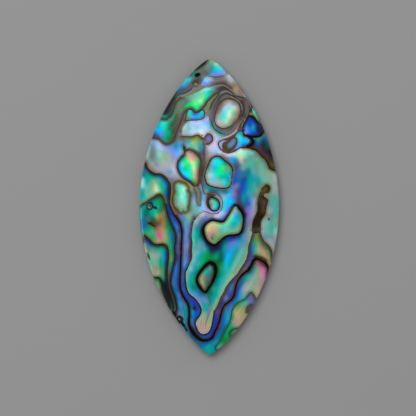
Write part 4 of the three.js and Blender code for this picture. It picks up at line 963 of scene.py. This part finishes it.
    ("slate", (-1.7, -12.6), (-1.45, -12.95)), ("steel", (-1.1, -12.95), (-0.6, -13.2)),
    ("petrol", (-0.7, -12.5)), ("spruce", (-0.3, -12.6)), ("petrol", (-0.1, -13.1)),
    ("bottle", (0.3, -12.2)), ("teal", (0.6, -12.75), (1.1, -12.4)), ("seafoam", (1.0, -13.1)),
    ("sage", (1.6, -12.8), (1.95, -12.1)), ("seafoam", (1.5, -11.5), (1.9, -10.9)),
    ("jade", (0.5, -11.5)), ("teal", (1.05, -11.6)), ("petrol", (1.05, -10.8)),
    ("teal", (1.4, -10.2), (1.8, -9.9)), ("bottle", (1.25, -9.8)), ("seafoam", (2.2, -10.0)),
    ("teal", (1.8, -9.2)), ("leaf", (1.62, -8.25)), ("fern", (1.6, -8.75)), ("leaf", (1.42, -9.3)),
    ("moss", (1.3, -8.8)), ("moss", (1.3, -7.8)), ("verdigris", (2.8, -10.2)), ("teal", (-0.8, -14.2)),
    ("sage", (1.2, -13.6)), ("sage", (-0.9, -15.5)), ("khaki", (-1.4, -16.2)),
    ("pink", (-1.3, -16.6), (-1.0, -17.2)), ("khaki", (0.0, -16.4)), ("sage", (0.3, -15.5)),
    # Inside the lens
    ("seafoam", (-0.85, -8.95)), ("turquoise", (-0.6, -9.1)), ("teal", (-0.3, -8.85)),
    ("seafoam", (0.0, -8.6)), ("jade", (-0.3, -9.25)), ("steel", (0.02, -9.1)),
    ("spruce", (0.35, -9.2), (0.35, -9.9)), ("petrol", (0.08, -9.6)),
    ("flint", (-0.3, -9.75), (-0.2, -10.2)), ("pine", (-0.3, -10.6)), ("flint", (0.0, -10.5)),
    ("spruce", (-0.4, -11.0)), ("sage", (-0.7, -10.8)), ("khaki_grey", (-0.72, -10.3)),
    ("sage", (-0.85, -9.6)), ("khaki", (-1.15, -9.9)), ("sand", (-1.25, -10.3), (-1.2, -10.65)),
    ("khaki", (-0.95, -11.3)),
    # Strip between the eye seam and the main loop
    ("denim", (-4.45, -6.7), (-4.4, -7.6)), ("cornflower", (-4.85, -8.3), (-5.05, -9.2)),
    ("cobalt", (-4.5, -8.4), (-4.5, -9.8)), ("steel", (-5.15, -9.9), (-5.2, -11.0)),
    ("cobalt", (-4.7, -10.2)), ("petrol", (-4.85, -10.8), (-4.8, -11.5)),
    ("royal", (-4.42, -10.8), (-4.4, -11.9)), ("teal", (-4.75, -12.1), (-4.5, -12.9)),
    ("violet", (-4.1, -12.4), (-3.7, -13.1)), ("royal", (-4.1, -13.0)), ("teal", (-4.1, -13.6)),
    ("mist", (-4.4, -13.8)), ("denim", (-4.2, -14.3), (-4.0, -14.7)),
    ("teal", (-3.4, -14.7), (-3.4, -15.3)), ("steel", (-3.7, -15.4)), ("pewter", (-4.4, -15.1)),
    # Green sliver beside the strip
    ("fern", (-5.5, -6.6), (-5.55, -7.2)), ("leaf", (-5.15, -6.6), (-4.98, -7.6)),
    ("khaki", (-5.22, -7.45)), ("jade", (-5.6, -8.2)), ("teal", (-5.45, -8.6)), ("denim", (-5.6, -9.1)),
    ("plum", (-5.65, -9.7)), ("ink", (-5.7, -10.2), (-5.65, -11.2), (-5.35, -12.4)),
    # Right of the lower right seam
    ("slate", (5.8, -12.9)), ("mauve", (6.1, -12.6)), ("seafoam", (4.9, -13.6)), ("fern", (4.1, -14.0)),
    ("khaki", (4.3, -14.5), (4.9, -15.2)), ("sand", (4.0, -14.9)), ("pink", (3.85, -16.2)),
    ("sand", (3.9, -15.6)), ("fern", (3.35, -15.6)), ("jade", (2.9, -17.2), (2.5, -18.0)),
    ("leaf", (2.0, -18.8)), ("seafoam", (1.4, -19.7)), ("sand", (4.3, -16.6)), ("mauve", (5.65, -14.4)),
    # Lower left cell
    ("verdigris", (-7.9, -7.5)), ("seafoam", (-8.3, -7.8)), ("sage", (-8.2, -8.6), (-7.95, -9.3)),
    ("silver", (-7.4, -7.0)), ("sage", (-7.55, -7.8)), ("fawn", (-7.45, -8.6), (-7.35, -9.1)),
    ("sand", (-7.4, -9.5)), ("jade", (-6.85, -7.4), (-6.9, -8.2)), ("teal", (-6.5, -7.0), (-6.45, -7.9)),
    ("cobalt", (-6.15, -7.0)), ("indigo", (-6.05, -8.0)), ("petrol", (-6.2, -8.6)),
    ("fern", (-6.6, -8.7), (-6.6, -9.8)), ("jade", (-6.55, -10.3)), ("navy", (-6.0, -9.2)),
    ("ink", (-6.2, -10.7), (-6.0, -12.0)),
    # Sliver at the left rim
    ("leaf", (-7.35, -10.35)), ("sage", (-7.5, -10.8), (-7.2, -11.6)),
    ("fern", (-7.0, -11.0), (-6.85, -12.0)), ("sage", (-6.85, -12.4)), ("khaki", (-6.7, -13.0)),
    ("soot", (-6.55, -11.1), (-6.3, -12.0)), ("soot", (-6.0, -12.8), (-5.6, -13.8)),
    ("petrol", (-5.5, -14.0)), ("pewter", (-5.5, -14.8)),
]

# Small soft spots laid over the rest: colour, place, half size across and along, turn in degrees
SPOTS = [
    ("black", (-8.42, 0.14), 0.47, 0.55, 0), ("silver", (-8.45, 0.12), 0.27, 0.33, 0),
    ("black", (-8.38, 0.17), 0.12, 0.17, 0), ("black", (-7.65, -0.12), 0.3, 0.2, -25),
    ("russet", (-7.63, -0.13), 0.16, 0.08, -30), ("umber", (-8.35, -2.35), 0.4, 0.18, -15),
    ("umber", (-7.85, -2.65), 0.3, 0.13, -20), ("dark_olive", (-8.65, -6.95), 0.18, 0.55, 20),
    ("ash", (0.42, -4.45), 0.13, 0.36, 25), ("sepia", (-3.12, 2.32), 0.07, 0.12, 0),
    ("dark_olive", (-3.65, -0.65), 0.05, 0.08, 0), ("pine", (-1.4, 0.95), 0.08, 0.1, 0),
    ("fawn", (-1.0, 10.1), 0.16, 0.16, 0), ("black", (-1.25, -11.25), 0.16, 0.16, 0),
    ("pine", (8.42, -1.72), 0.16, 0.16, 0), ("navy", (-2.1, -14.3), 0.28, 0.28, 0),
    ("black", (-1.7, 18.72), 0.4, 0.25, 18), ("sepia", (-1.95, 17.45), 0.45, 0.5, 0),
    ("drab", (-2.0, 17.4), 0.24, 0.28, 0), ("khaki", (-1.75, 17.32), 0.1, 0.12, 0),
    ("black", (-4.2, -15.95), 0.52, 0.56, 20), ("silver", (-4.24, -15.9), 0.13, 0.16, 20),
    ("black", (-4.88, -15.2), 0.24, 0.4, 30), ("black", (-3.7, -16.65), 0.2, 0.46, 35),
    ("soot", (-3.3, -17.3), 0.16, 0.36, 35),
]


def half_width(x, y):
    """How far the rim is from the middle line at y, on the side that x is on."""
    top = np.where(x >= 0, FULLNESS["top right"], FULLNESS["top left"])
    bottom = np.where(x >= 0, FULLNESS["bottom right"], FULLNESS["bottom left"])
    t = np.minimum(1.0, np.abs(y) / (LENGTH / 2))
    return WIDTH / 2 * (1 - t * t) ** np.where(y >= 0, top, bottom)


def crown_height(x, y):
    """How high the polished face is at a place."""
    t = np.minimum(1.0, np.abs(y) / (LENGTH / 2))
    s = np.minimum(1.0, np.abs(x) / np.maximum(half_width(x, y), TINY))
    return SIDE_HEIGHT + (THICKNESS - SIDE_HEIGHT) * ((1 - s * s) * (1 - t * t)) ** CROWN_POWER


def eased(count, evenness):
    """Steps from -1 to 1 that draw together towards both ends."""
    even = np.linspace(-1, 1, count + 1)
    return evenness * even + (1 - evenness) * np.sin(even * math.pi / 2)


def section(y):
    """The stone's outline across its length at y, from the right rim over the face and back."""
    right = float(half_width(1.0, y))
    left = float(half_width(-1.0, y))
    shrink = 1 - BACK_BEVEL / (WIDTH / 2)
    beyond = max(0.0, abs(y) / (LENGTH / 2) - shrink) / (1 - shrink)
    foot = BACK_BEVEL * beyond
    foot_right = shrink * float(half_width(1.0, y / shrink))
    foot_left = shrink * float(half_width(-1.0, y / shrink))
    face = -eased(FACE_STEPS, FACE_EVENNESS)
    face_x = np.where(face >= 0, face * right, face * left)
    face_z = crown_height(face_x, np.full(face_x.shape, y))
    side_z = np.linspace(SIDE_HEIGHT, BACK_BEVEL, SIDE_STEPS + 1)
    bevel = np.linspace(0, 1, BEVEL_STEPS + 1)[1:]
    back = np.linspace(-foot_left, foot_right, BACK_STEPS + 1)[1:]
    x = np.concatenate([
        face_x, np.full(SIDE_STEPS, -left), -left + bevel * (left - foot_left), back,
        foot_right + bevel * (right - foot_right), np.full(SIDE_STEPS - 1, right)])
    z = np.concatenate([
        face_z, side_z[1:], BACK_BEVEL + bevel * (foot - BACK_BEVEL), np.full(BACK_STEPS, foot),
        foot + bevel * (BACK_BEVEL - foot), side_z[::-1][1:-1]])
    return x, z


def make_stone():
    """A sphere of many facets, ground to the marquise outline, its crown and its flat back."""
    around = FACE_STEPS + 2 * SIDE_STEPS + 2 * BEVEL_STEPS + BACK_STEPS
    bpy.ops.object.select_all(action="DESELECT")
    bpy.ops.mesh.primitive_uv_sphere_add(segments=around, ring_count=ROWS, radius=1,
                                         rotation=(math.pi / 2, 0, 0))
    stone = bpy.context.object
    stone.name = "polished_nacre"
    stone.data.name = "polished_nacre"
    bpy.ops.object.transform_apply(rotation=True)
    place = np.empty(len(stone.data.vertices) * 3)
    stone.data.vertices.foreach_get("co", place)
    place = place.reshape(-1, 3)
    row = np.rint((1 - np.arccos(np.clip(place[:, 1], -1, 1)) / math.pi) * ROWS).astype(int)
    turn = np.mod(np.arctan2(place[:, 2], place[:, 0]), 2 * math.pi)
    step = np.mod(np.rint(turn / (2 * math.pi) * around).astype(int), around)
    levels = eased(ROWS, ROW_EVENNESS) * LENGTH / 2
    for number in range(1, ROWS):
        here = row == number
        x, z = section(levels[number])
        place[here, 0] = x[step[here]]
        place[here, 1] = levels[number]
        place[here, 2] = z[step[here]]
    for number in (0, ROWS):
        place[row == number] = (0, levels[number], POLE_HEIGHT)
    sink_pits(place)
    stone.data.vertices.foreach_set("co", (place * MM).ravel())
    stone.data.update()
    bpy.ops.object.shade_smooth_by_angle(angle=SMOOTH_ANGLE)
    return stone, place


def sink_pits(place):
    """Lowers the points in each pit to the pit's rounded floor."""
    for x, y, across, along, depth, turn in PITS:
        c, s = math.cos(math.radians(turn)), math.sin(math.radians(turn))
        dx, dy = place[:, 0] - x, place[:, 1] - y
        u = (dx * c + dy * s) / (across / 2)
        v = (dy * c - dx * s) / (along / 2)
        inside = u * u + v * v < 1
        rim = float(crown_height(np.array(x), np.array(y)))
        floor = rim - depth * np.sqrt(np.maximum(0, 1 - u * u - v * v))
        place[:, 2] = np.where(inside, np.minimum(place[:, 2], floor), place[:, 2])


def smooth_path(points, width, closed, step=0.12):
    """A smooth curve through the given points, as rows of x, y and half width."""
    knots = np.array([(p[0], p[1], p[2] if len(p) > 2 else width) for p in points])
    if closed:
        knots = np.vstack([knots[-1:], knots, knots[:2]])
    else:
        knots = np.vstack([2 * knots[0] - knots[1], knots, 2 * knots[-1] - knots[-2]])
    runs = []
    for a, b, c, d in zip(knots, knots[1:], knots[2:], knots[3:]):
        count = max(2, int(np.hypot(*(c - b)[:2]) / step) + 1)
        t = np.linspace(0, 1, count, endpoint=False)[:, None]
        runs.append(b + 0.5 * t * (c - a + t * (2 * a - 5 * b + 4 * c - d + t * (3 * (b - c) + d - a))))
    path = np.vstack(runs + [knots[-2:-1]])
    path[:, 2] = np.clip(path[:, 2], knots[1:-1, 2].min(), knots[1:-1, 2].max())
    return path


class Sheet:
    """A flat raster a little larger than the stone, on which the pattern is worked out."""

    def __init__(self):
        self.columns = int(round((WIDTH + 2 * MARGIN) / CELL)) + 1
        self.rows = int(round((LENGTH + 2 * MARGIN) / CELL)) + 1
        self.x, self.y = np.meshgrid(CELL * np.arange(self.columns) - WIDTH / 2 - MARGIN,
                                     CELL * np.arange(self.rows) - LENGTH / 2 - MARGIN)

    def column(self, x):
        """Where x falls, counted in columns."""
        return (np.asarray(x) + WIDTH / 2 + MARGIN) / CELL

    def row(self, y):
        """Where y falls, counted in rows."""
        return (np.asarray(y) + LENGTH / 2 + MARGIN) / CELL

    def sample(self, field, x, y):
        """The field's value between its cells."""
        i = np.clip(self.column(x), 0, self.columns - 1 - INSET)
        j = np.clip(self.row(y), 0, self.rows - 1 - INSET)
        i0 = i.astype(int)
        j0 = j.astype(int)
        u = i - i0
        v = j - j0
        if field.ndim == 3:
            u = u[:, None]
            v = v[:, None]
        lower = field[j0, i0] * (1 - u) + field[j0, i0 + 1] * u
        upper = field[j0 + 1, i0] * (1 - u) + field[j0 + 1, i0 + 1] * u
        return lower * (1 - v) + upper * v

    def blur(self, field, size):
        """The field averaged over that many millimetres round each cell."""
        fy = np.fft.fftfreq(self.rows, CELL)[:, None]
        fx = np.fft.rfftfreq(self.columns, CELL)[None, :]
        keep = np.exp(-2 * (math.pi * size) ** 2 * (fx * fx + fy * fy))
        return np.fft.irfft2(np.fft.rfft2(field) * keep, s=field.shape)


def from_segment(x, y, start, end):
    """Distance from a straight piece of a path, and how far along it the nearest place is."""
    dx, dy = end[0] - start[0], end[1] - start[1]
    t = np.clip(((x - start[0]) * dx + (y - start[1]) * dy) / max(dx * dx + dy * dy, TINY), 0, 1)
    return np.hypot(x - start[0] - t * dx, y - start[1] - t * dy), t


def walls(sheet, paths):
    """The cells that a growth line runs through, which colour doesn't cross."""
    wall = np.zeros(sheet.x.shape, bool)
    for path in paths:
        for start, end in zip(path, path[1:]):
            i0 = max(0, int(sheet.column(min(start[0], end[0]))) - 1)
            i1 = int(sheet.column(max(start[0], end[0]))) + 3
            j0 = max(0, int(sheet.row(min(start[1], end[1]))) - 1)
            j1 = int(sheet.row(max(start[1], end[1]))) + 3
            away, _ = from_segment(sheet.x[j0:j1, i0:i1], sheet.y[j0:j1, i0:i1], start, end)
            wall[j0:j1, i0:i1] |= away < WALL_REACH
    return wall


def grain(sheet, paths):
    """The direction that the layers run in at each cell, from the lines round it, and how
    strongly they run that way."""
    parts = np.zeros((3,) + sheet.x.shape)
    for path in paths:
        step = np.diff(path[:, :2], axis=0)
        size = np.hypot(step[:, 0], step[:, 1]) + TINY
        tx, ty = step[:, 0] / size, step[:, 1] / size
        i = np.clip(np.rint(sheet.column(path[:-1, 0])).astype(int), 0, sheet.columns - 1)
        j = np.clip(np.rint(sheet.row(path[:-1, 1])).astype(int), 0, sheet.rows - 1)
        for part, value in zip(parts, (tx * tx, tx * ty, ty * ty)):
            np.add.at(part, (j, i), value * size)
    xx, xy, yy = [sum(sheet.blur(part, size) * size ** 0.5 for size in GRAIN_SIZES) for part in parts]
    angle = 0.5 * np.arctan2(2 * xy, xx - yy)
    strength = np.hypot(xx - yy, 2 * xy) / (xx + yy + TINY)
    return angle, np.clip(strength, 0, 1)


def windows(field, rows, columns, half, outside):
    """The square of cells round each of many cells."""
    padded = np.pad(field, half, constant_values=outside)
    dj, di = np.mgrid[0:2 * half + 1, 0:2 * half + 1]
    return padded[rows[:, None, None] + dj, columns[:, None, None] + di]


def reach_of(sheet, wall, angle, strength, rows, columns, half):
    """How far each cell round a touch is from it, going round the lines, and shorter along
    the grain than across it."""
    size = 2 * half + 1
    blocked = windows(wall, rows, columns, half, True)
    away = np.full((len(TOUCHES), size, size), UNREACHED, np.float32)
    for number, (_, *places) in enumerate(TOUCHES):
        path = smooth_path(places, 0, False, CELL / 2) if len(places) > 1 else np.array(places)
        i = np.rint(sheet.column(path[:, 0])).astype(int) - columns[number] + half
        j = np.rint(sheet.row(path[:, 1])).astype(int) - rows[number] + half
        away[number, j, i] = 0
    start = away == 0
    steps = []
    for di, dj in ((1, 0), (0, 1), (1, 1), (1, -1)):
        along = (np.cos(angle) * di + np.sin(angle) * dj) ** 2 / (di * di + dj * dj)
        ease = 1 - strength * (1 - 1 / STRETCH ** 2)
        cost = np.hypot(di, dj) * CELL * np.sqrt(1 - along + along * ease)
        cost = windows(cost.astype(np.float32), rows, columns, half, 1.0)
        cost[blocked] = WALL_COST
        steps += [(di, dj, cost), (-di, -dj, cost)]
    for _ in range(int(half * SWEEPS)):
        for di, dj, cost in steps:
            to_j = slice(max(0, dj), size - max(0, -dj))
            to_i = slice(max(0, di), size - max(0, -di))
            from_j = slice(max(0, -dj), size - max(0, dj))
            from_i = slice(max(0, -di), size - max(0, di))
            there = away[:, to_j, to_i]
            np.minimum(there, away[:, from_j, from_i] + cost[:, to_j, to_i], out=there)
    return away, blocked & ~start


def spread(sheet, wall, angle, strength):
    """The nacre's colour at each cell, mixed from the touches that reach it."""
    half = int(REACH / CELL)
    size = 2 * half + 1
    centres = np.array([np.mean(np.array(places), axis=0) for _, *places in TOUCHES])
    columns = np.rint(sheet.column(centres[:, 0])).astype(int)
    rows = np.rint(sheet.row(centres[:, 1])).astype(int)
    away, blocked = reach_of(sheet, wall, angle, strength, rows, columns, half)
    weight = (away ** 2 + TOUCH_SIZE ** 2) ** -(FALLOFF / 2) * np.clip(1 - away / REACH, 0, 1) ** 2
    weight[blocked] = 0
    total = np.zeros((sheet.rows + 2 * half, sheet.columns + 2 * half, 1))
    mixed = np.zeros((sheet.rows + 2 * half, sheet.columns + 2 * half, 3))
    for number, (name, *_) in enumerate(TOUCHES):
        block = (slice(rows[number], rows[number] + size), slice(columns[number], columns[number] + size))
        total[block] += weight[number][..., None]
        mixed[block] += weight[number][..., None] * np.array(COLOURS[name])
    total = total[half:-half, half:-half]
    colour = mixed[half:-half, half:-half] / np.maximum(total, TINY)
    return soften(fill_gaps(colour, total[..., 0] > LEAST_WEIGHT), wall)


def neighbours(field):
    """The field as each cell's four neighbours have it."""
    return [np.roll(field, way, axis) for way, axis in ((1, 0), (-1, 0), (1, 1), (-1, 1))]


def fill_gaps(colour, known):
    """Carries colour into the cells under the lines, from the cells beside them."""
    for _ in range(GAP_ROUNDS):
        if known.all():
            break
        sides = neighbours(known)
        count = sum(side.astype(float) for side in sides)
        summed = sum(part * side[..., None] for part, side in zip(neighbours(colour), sides))
        grow = ~known & (count > 0)
        colour[grow] = summed[grow] / count[grow][:, None]
        known = known | grow
    return colour


def soften(colour, wall):
    """Blends each cell with its neighbours, but not across a line."""
    free = (~wall).astype(float)[..., None]
    for _ in range(SOFTENING):
        shares = neighbours(free)
        summed = sum(part * share for part, share in zip(neighbours(colour), shares))
        count = sum(shares)
        blended = (colour + summed) / (1 + count)
        colour = np.where(free > 0, blended, colour)
    return fill_gaps(colour, ~wall)


def streak_field(sheet, angle):
    """Fine light and dark streaks that run with the layers."""
    rng = np.random.default_rng(STREAK_SEED)
    speckle = rng.standard_normal(sheet.x.shape)
    total = speckle.copy()
    for way in (1, -1):
        x, y = sheet.x.copy(), sheet.y.copy()
        dx, dy = np.cos(angle) * CELL * way, np.sin(angle) * CELL * way
        for _ in range(STREAK_CELLS):
            x, y = x + dx, y + dy
            total += sheet.sample(speckle, x.ravel(), y.ravel()).reshape(x.shape)
            ahead = sheet.sample(np.dstack([np.cos(2 * angle), np.sin(2 * angle)]), x.ravel(), y.ravel())
            turned = 0.5 * np.arctan2(ahead[:, 1], ahead[:, 0]).reshape(x.shape)
            nx, ny = np.cos(turned) * CELL, np.sin(turned) * CELL
            same = np.where(nx * dx + ny * dy >= 0, 1, -1)
            dx, dy = nx * same, ny * same
    return total / total.std()


def lay_spots(colour, x, y):
    """Lays the small spots over the colours."""
    for name, (sx, sy), across, along, turn in SPOTS:
        c, s = math.cos(math.radians(turn)), math.sin(math.radians(turn))
        u = ((x - sx) * c + (y - sy) * s) / across
        v = ((y - sy) * c - (x - sx) * s) / along
        share = 0.5 - 0.5 * np.tanh((np.hypot(u, v) - 1) * SPOT_EDGE)
        colour += share[:, None] * (np.array(COLOURS[name]) - colour)


def fringe_of(name, line_tone):
    """The colour beside a line and how strongly it shows: a named one, or else a soft shade
    beside a dark line."""
    if name:
        return COLOURS[name] + (FRINGE_STRENGTH,)
    return (0.0, 0.0, 0.0, SHADE_STRENGTH * max(0.0, 1 - sum(line_tone)))


def growth_lines_and_painted_shade(x, y, paths):
    """How far each place is from the nearest growth line or from the band of painted rim shade, in
    half widths and in millimetres from its edge, the tone of that line, and the fringe that it has on
    this side. The paths are gone through in short runs, each with only the places round it."""
    line = np.full(x.shape, NO_LINE)
    gap = np.full(x.shape, NO_LINE)
    tone = np.zeros(x.shape + (3,))
    fringe = np.zeros(x.shape + (4,))
    for (_, name, _, _, _, fringes), path in zip(SEAMS, paths):
        sides = np.array([fringe_of(side, COLOURS[name]) for side in fringes or (None, None)])
        for first in range(0, len(path) - 1, LINE_STEPS):
            piece = path[first:first + LINE_STEPS + 1]
            left, bottom = piece[:, :2].min(axis=0) - LINE_REACH
            right, top = piece[:, :2].max(axis=0) + LINE_REACH
            near = np.flatnonzero((x > left) & (x < right) & (y > bottom) & (y < top))
            for start, end in zip(piece, piece[1:]):
                away, t = from_segment(x[near], y[near], start, end)
                width = start[2] + t * (end[2] - start[2])
                closer = away - width < gap[near]
                hit = near[closer]
                line[hit] = (away / width)[closer]
                gap[hit] = (away - width)[closer]
                tone[hit] = np.array(COLOURS[name])
                turn = (end[0] - start[0]) * (y[hit] - start[1]) - (end[1] - start[1]) * (x[hit] - start[0])
                fringe[hit] = sides[(turn < 0).astype(int)]
    return line, np.maximum(gap, 0), tone, fringe


def layer_place(place):
    """Where each point lies on the pattern: the layers lean as they run down the side, so the
    sawn back shows them shifted and bent."""
    x, y, z = place[:, 0], place[:, 1], place[:, 2]
    depth = np.clip(SIDE_HEIGHT - z, 0, None)
    sway = np.sin(0.31 * y + 0.8)
    ripple = np.sin(0.4 * x + 0.23 * y)
    across = x * (1 - DRAW_IN_ACROSS * depth) + depth * SWAY_ACROSS * sway
    along = y * (1 - DRAW_IN_ALONG * depth) + depth * (SLIDE + SWAY_ALONG * ripple)
    return across, along


def linear(colour):
    """Turns colours as they look (sRGB) into amounts of light."""
    colour = np.clip(colour, 0, 1)
    return np.where(colour <= 0.04045, colour / 12.92, ((colour + 0.055) / 1.055) ** 2.4)


def store(mesh, name, kind, values):
    """Keeps a colour or a number for every point of the mesh, for its material to read."""
    layer = mesh.attributes.new(name, kind, "POINT")
    if kind == "FLOAT_COLOR":
        rgba = np.ones((len(mesh.vertices), 4), np.float32)
        rgba[:, :3] = values
        layer.data.foreach_set("color", rgba.ravel())
    else:
        layer.data.foreach_set("value", np.asarray(values, np.float32))


def enliven(colour):
    """Makes vivid colours a little stronger and leaves greys as they are."""
    grey = colour.mean(axis=1)[:, None]
    vivid = np.ptp(colour, axis=1)[:, None]
    return grey + (colour - grey) * (DULLEST + LIVELY * vivid)


def colour_stone(stone, place):
    """Works out the pattern on the flat sheet and keeps it on the stone's points."""
    x, y = layer_place(place)
    sheet = Sheet()
    paths = [smooth_path(points, width, closed) for _, _, width, closed, points, _ in SEAMS]
    edges = [smooth_path(points, 0, False) for points in EDGES]
    angle, strength = grain(sheet, paths + edges)
    washed = spread(sheet, walls(sheet, paths + edges), angle, strength)
    colour = sheet.sample(washed, x, y)
    lay_spots(colour, x, y)
    line, gap, tone, fringe = growth_lines_and_painted_shade(x, y, paths)
    share = fringe[:, 3:] * np.exp(-(gap / FRINGE_WIDTH) ** 2)[:, None]
    colour += share * (fringe[:, :3] - colour)
    colour = enliven(colour)
    colour *= (1 + ECHO * np.cos(2 * math.pi * gap / LAYER_STEP) * np.exp(-gap / ECHO_FADE))[:, None]
    store(stone.data, "nacre", "FLOAT_COLOR", linear(colour))
    store(stone.data, "line_tone", "FLOAT_COLOR", linear(tone))
    store(stone.data, "line", "FLOAT", np.minimum(line, LINE_LIMIT))
    store(stone.data, "streaks", "FLOAT", sheet.sample(streak_field(sheet, angle) * strength, x, y))
    below = SIDE_HEIGHT - SAWN_START - place[:, 2]
    store(stone.data, "sawn", "FLOAT", np.clip(below / SAWN_FADE, 0, 1))


class Value:
    """A socket of a material, with arithmetic that adds its Math nodes."""

    def __init__(self, paint, socket):
        self.paint = paint
        self.socket = socket

    def reckon(self, operation, *others):
        return self.paint.node("ShaderNodeMath", {"operation": operation}, self, *others)

    def __add__(self, other):
        return self.reckon("ADD", other)

    __radd__ = __add__

    def __sub__(self, other):
        return self.reckon("SUBTRACT", other)

    def __rsub__(self, other):
        return self.paint.node("ShaderNodeMath", {"operation": "SUBTRACT"}, other, self)

    def __mul__(self, other):
        return self.reckon("MULTIPLY", other)

    __rmul__ = __mul__

    def between(self, start, end):
        """0 up to start, 1 from end on, and smooth from one to the other."""
        return self.paint.node("ShaderNodeMapRange", {"interpolation_type": "SMOOTHSTEP"},
                               self, start, end, 0.0, 1.0)


class Paint:
    """One material and the nodes that it is made of."""

    def __init__(self, name):
        self.material = bpy.data.materials.new(name)
        self.material.use_nodes = True
        self.tree = self.material.node_tree
        self.shader = self.tree.nodes["Principled BSDF"]

    def fill(self, socket, value):
        if isinstance(value, Value):
            self.tree.links.new(value.socket, socket)
        else:
            socket.default_value = value

    def node(self, kind, settings, *inputs, output=0, **named):
        """Adds a node: its settings first, then its inputs in order or by name."""
        node = self.tree.nodes.new(kind)
        for key, value in settings.items():
            setattr(node, key, value)
        for socket, value in zip(node.inputs, inputs):
            self.fill(socket, value)
        for key, value in named.items():
            self.fill(node.inputs[key], value)
        return Value(self, node.outputs[output])

    def attribute(self, name, output):
        return self.node("ShaderNodeAttribute", {"attribute_name": name}, output=output)

    def mix(self, share, first, second, blend="MIX"):
        node = self.tree.nodes.new("ShaderNodeMix")
        node.data_type = "RGBA"
        node.blend_type = blend
        self.fill(node.inputs[0], share)
        self.fill(node.inputs[6], first)
        self.fill(node.inputs[7], second)
        return Value(self, node.outputs[2])

    def noise(self, scale, detail=3.0, distortion=0.0, stretch=(1.0, 1.0, 1.0)):
        """Noise on the stone's own place, scale being lumps per millimetre."""
        place = self.node("ShaderNodeTexCoord", {}, output="Object")
        sized = self.node("ShaderNodeMapping", {}, place, Scale=[s * scale / MM for s in stretch])
        return self.node("ShaderNodeTexNoise", {}, Vector=sized, Scale=1.0, Detail=detail,
                         Distortion=distortion)

    def finish(self, **sockets):
        for key, value in sockets.items():
            self.fill(self.shader.inputs[key.replace("_", " ")], value)
        return self.material


def nacre_material():
    """Polished nacre with its dark growth lines and a band of painted shade along the upper left rim,
    duller where the stone was only sawn.
    """
    lightness, streak_light, grain_light = 0.93, 0.10, 0.28
    line_core, line_edge = 0.6, 1.45
    dustiness = 0.35
    grain_relief, sawn_relief, line_relief = 0.3, 2.0, 0.6
    polish, line_matt, sawn_matt, uneven_matt = 0.2, 0.15, 0.3, 0.08
    paint = Paint("nacre")
    pearl = paint.attribute("nacre", "Color")
    tone = paint.attribute("line_tone", "Color")
    line = paint.attribute("line", "Fac")
    streaks = paint.attribute("streaks", "Fac")
    sawn = paint.attribute("sawn", "Fac")
    wobble = paint.noise(5.0)
    fine = paint.noise(9.0, detail=4.0, distortion=0.4, stretch=(1.0, 0.35, 1.0))
    dark = 1.0 - (line + wobble - 0.5).between(line_core, line_edge)
    light = lightness + streaks * streak_light + (fine - 0.5) * grain_light
    brightness = paint.node("ShaderNodeCombineColor", {}, light, light, light)
    pearly = paint.mix(1.0, pearl, brightness, "MULTIPLY")
    lined = paint.mix(dark, pearly, tone)
    dusty = paint.mix(sawn * dustiness, lined, SAWN_DUST)
    relief = paint.node("ShaderNodeBump", {}, Strength=0.25, Distance=0.02 * MM,
                        Height=fine * (grain_relief + sawn * sawn_relief) - dark * line_relief)
    return paint.finish(
        Base_Color=dusty,
        Metallic=0.15,
        Roughness=polish + dark * line_matt + sawn * sawn_matt + (wobble - 0.5) * uneven_matt,
        Coat_Weight=0.5 * (1.0 - sawn),
        Coat_Roughness=0.05,
        Normal=relief)


def floor_material():
    """Plain grey card."""
    grey = 0.196
    paint = Paint("plain floor")
    return paint.finish(Base_Color=(grey, grey, grey, 1.0), Roughness=0.9)


def lay_floor():
    """A wide floor, just clear of the stone's back."""
    clearance = 0.02 * MM
    bpy.ops.object.select_all(action="DESELECT")
    bpy.ops.mesh.primitive_plane_add(size=2.0, location=(0, 0, -clearance))
    floor = bpy.context.object
    floor.name = "floor"
    bpy.ops.object.transform_apply(location=True)
    floor.data.materials.append(floor_material())


def add_softbox(name, place, size, power, mirrored=True):
    """A round soft light that faces the stone. One that isn't mirrored lights it without glare on
    its polish."""
    lamp = bpy.data.lights.new(name, "AREA")
    lamp.shape = "DISK"
    lamp.size = size
    lamp.energy = power
    holder = bpy.data.objects.new(name, lamp)
    bpy.context.collection.objects.link(holder)
    holder.visible_glossy = mirrored
    holder.location = place
    holder.rotation_euler = (-Vector(place)).to_track_quat("-Z", "Y").to_euler()


def light_studio():
    """An even white room with a soft main light and two weak reflectors that gleam in the polish."""
    world = bpy.data.worlds.new("soft room")
    bpy.context.scene.world = world
    world.use_nodes = True
    background = world.node_tree.nodes["Background"]
    background.inputs["Color"].default_value = (1.0, 1.0, 1.0, 1.0)
    background.inputs["Strength"].default_value = 0.7
    world.cycles_visibility.glossy = False
    add_softbox("upper left softbox", (-0.10, 0.15, 0.40), size=0.3, power=1.7, mirrored=False)
    add_softbox("right reflector", (0.26, 0.17, 0.10), size=0.07, power=0.04)
    add_softbox("left reflector", (-0.30, -0.05, 0.06), size=0.12, power=0.06)
    bpy.context.scene.view_settings.view_transform = "Standard"


def place_camera():
    """Straight above the stone, far off, so that it shows nearly without perspective."""
    frame_width = 58.93 * MM
    aim_x = -0.184 * MM
    aim_y = -0.142 * MM
    aim_height = 2.0 * MM
    distance = 0.6
    lens = bpy.data.cameras.new("overhead camera")
    lens.sensor_width = 36.0
    lens.lens = lens.sensor_width * distance / frame_width
    lens.clip_start = 0.01
    camera = bpy.data.objects.new("overhead camera", lens)
    bpy.context.collection.objects.link(camera)
    camera.location = (aim_x, aim_y, aim_height + distance)
    bpy.context.scene.camera = camera


stone, stone_place = make_stone()
colour_stone(stone, stone_place)
stone.data.materials.append(nacre_material())
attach(stone, "root")
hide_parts("shell_cabochon")

lay_floor()
light_studio()
place_camera()
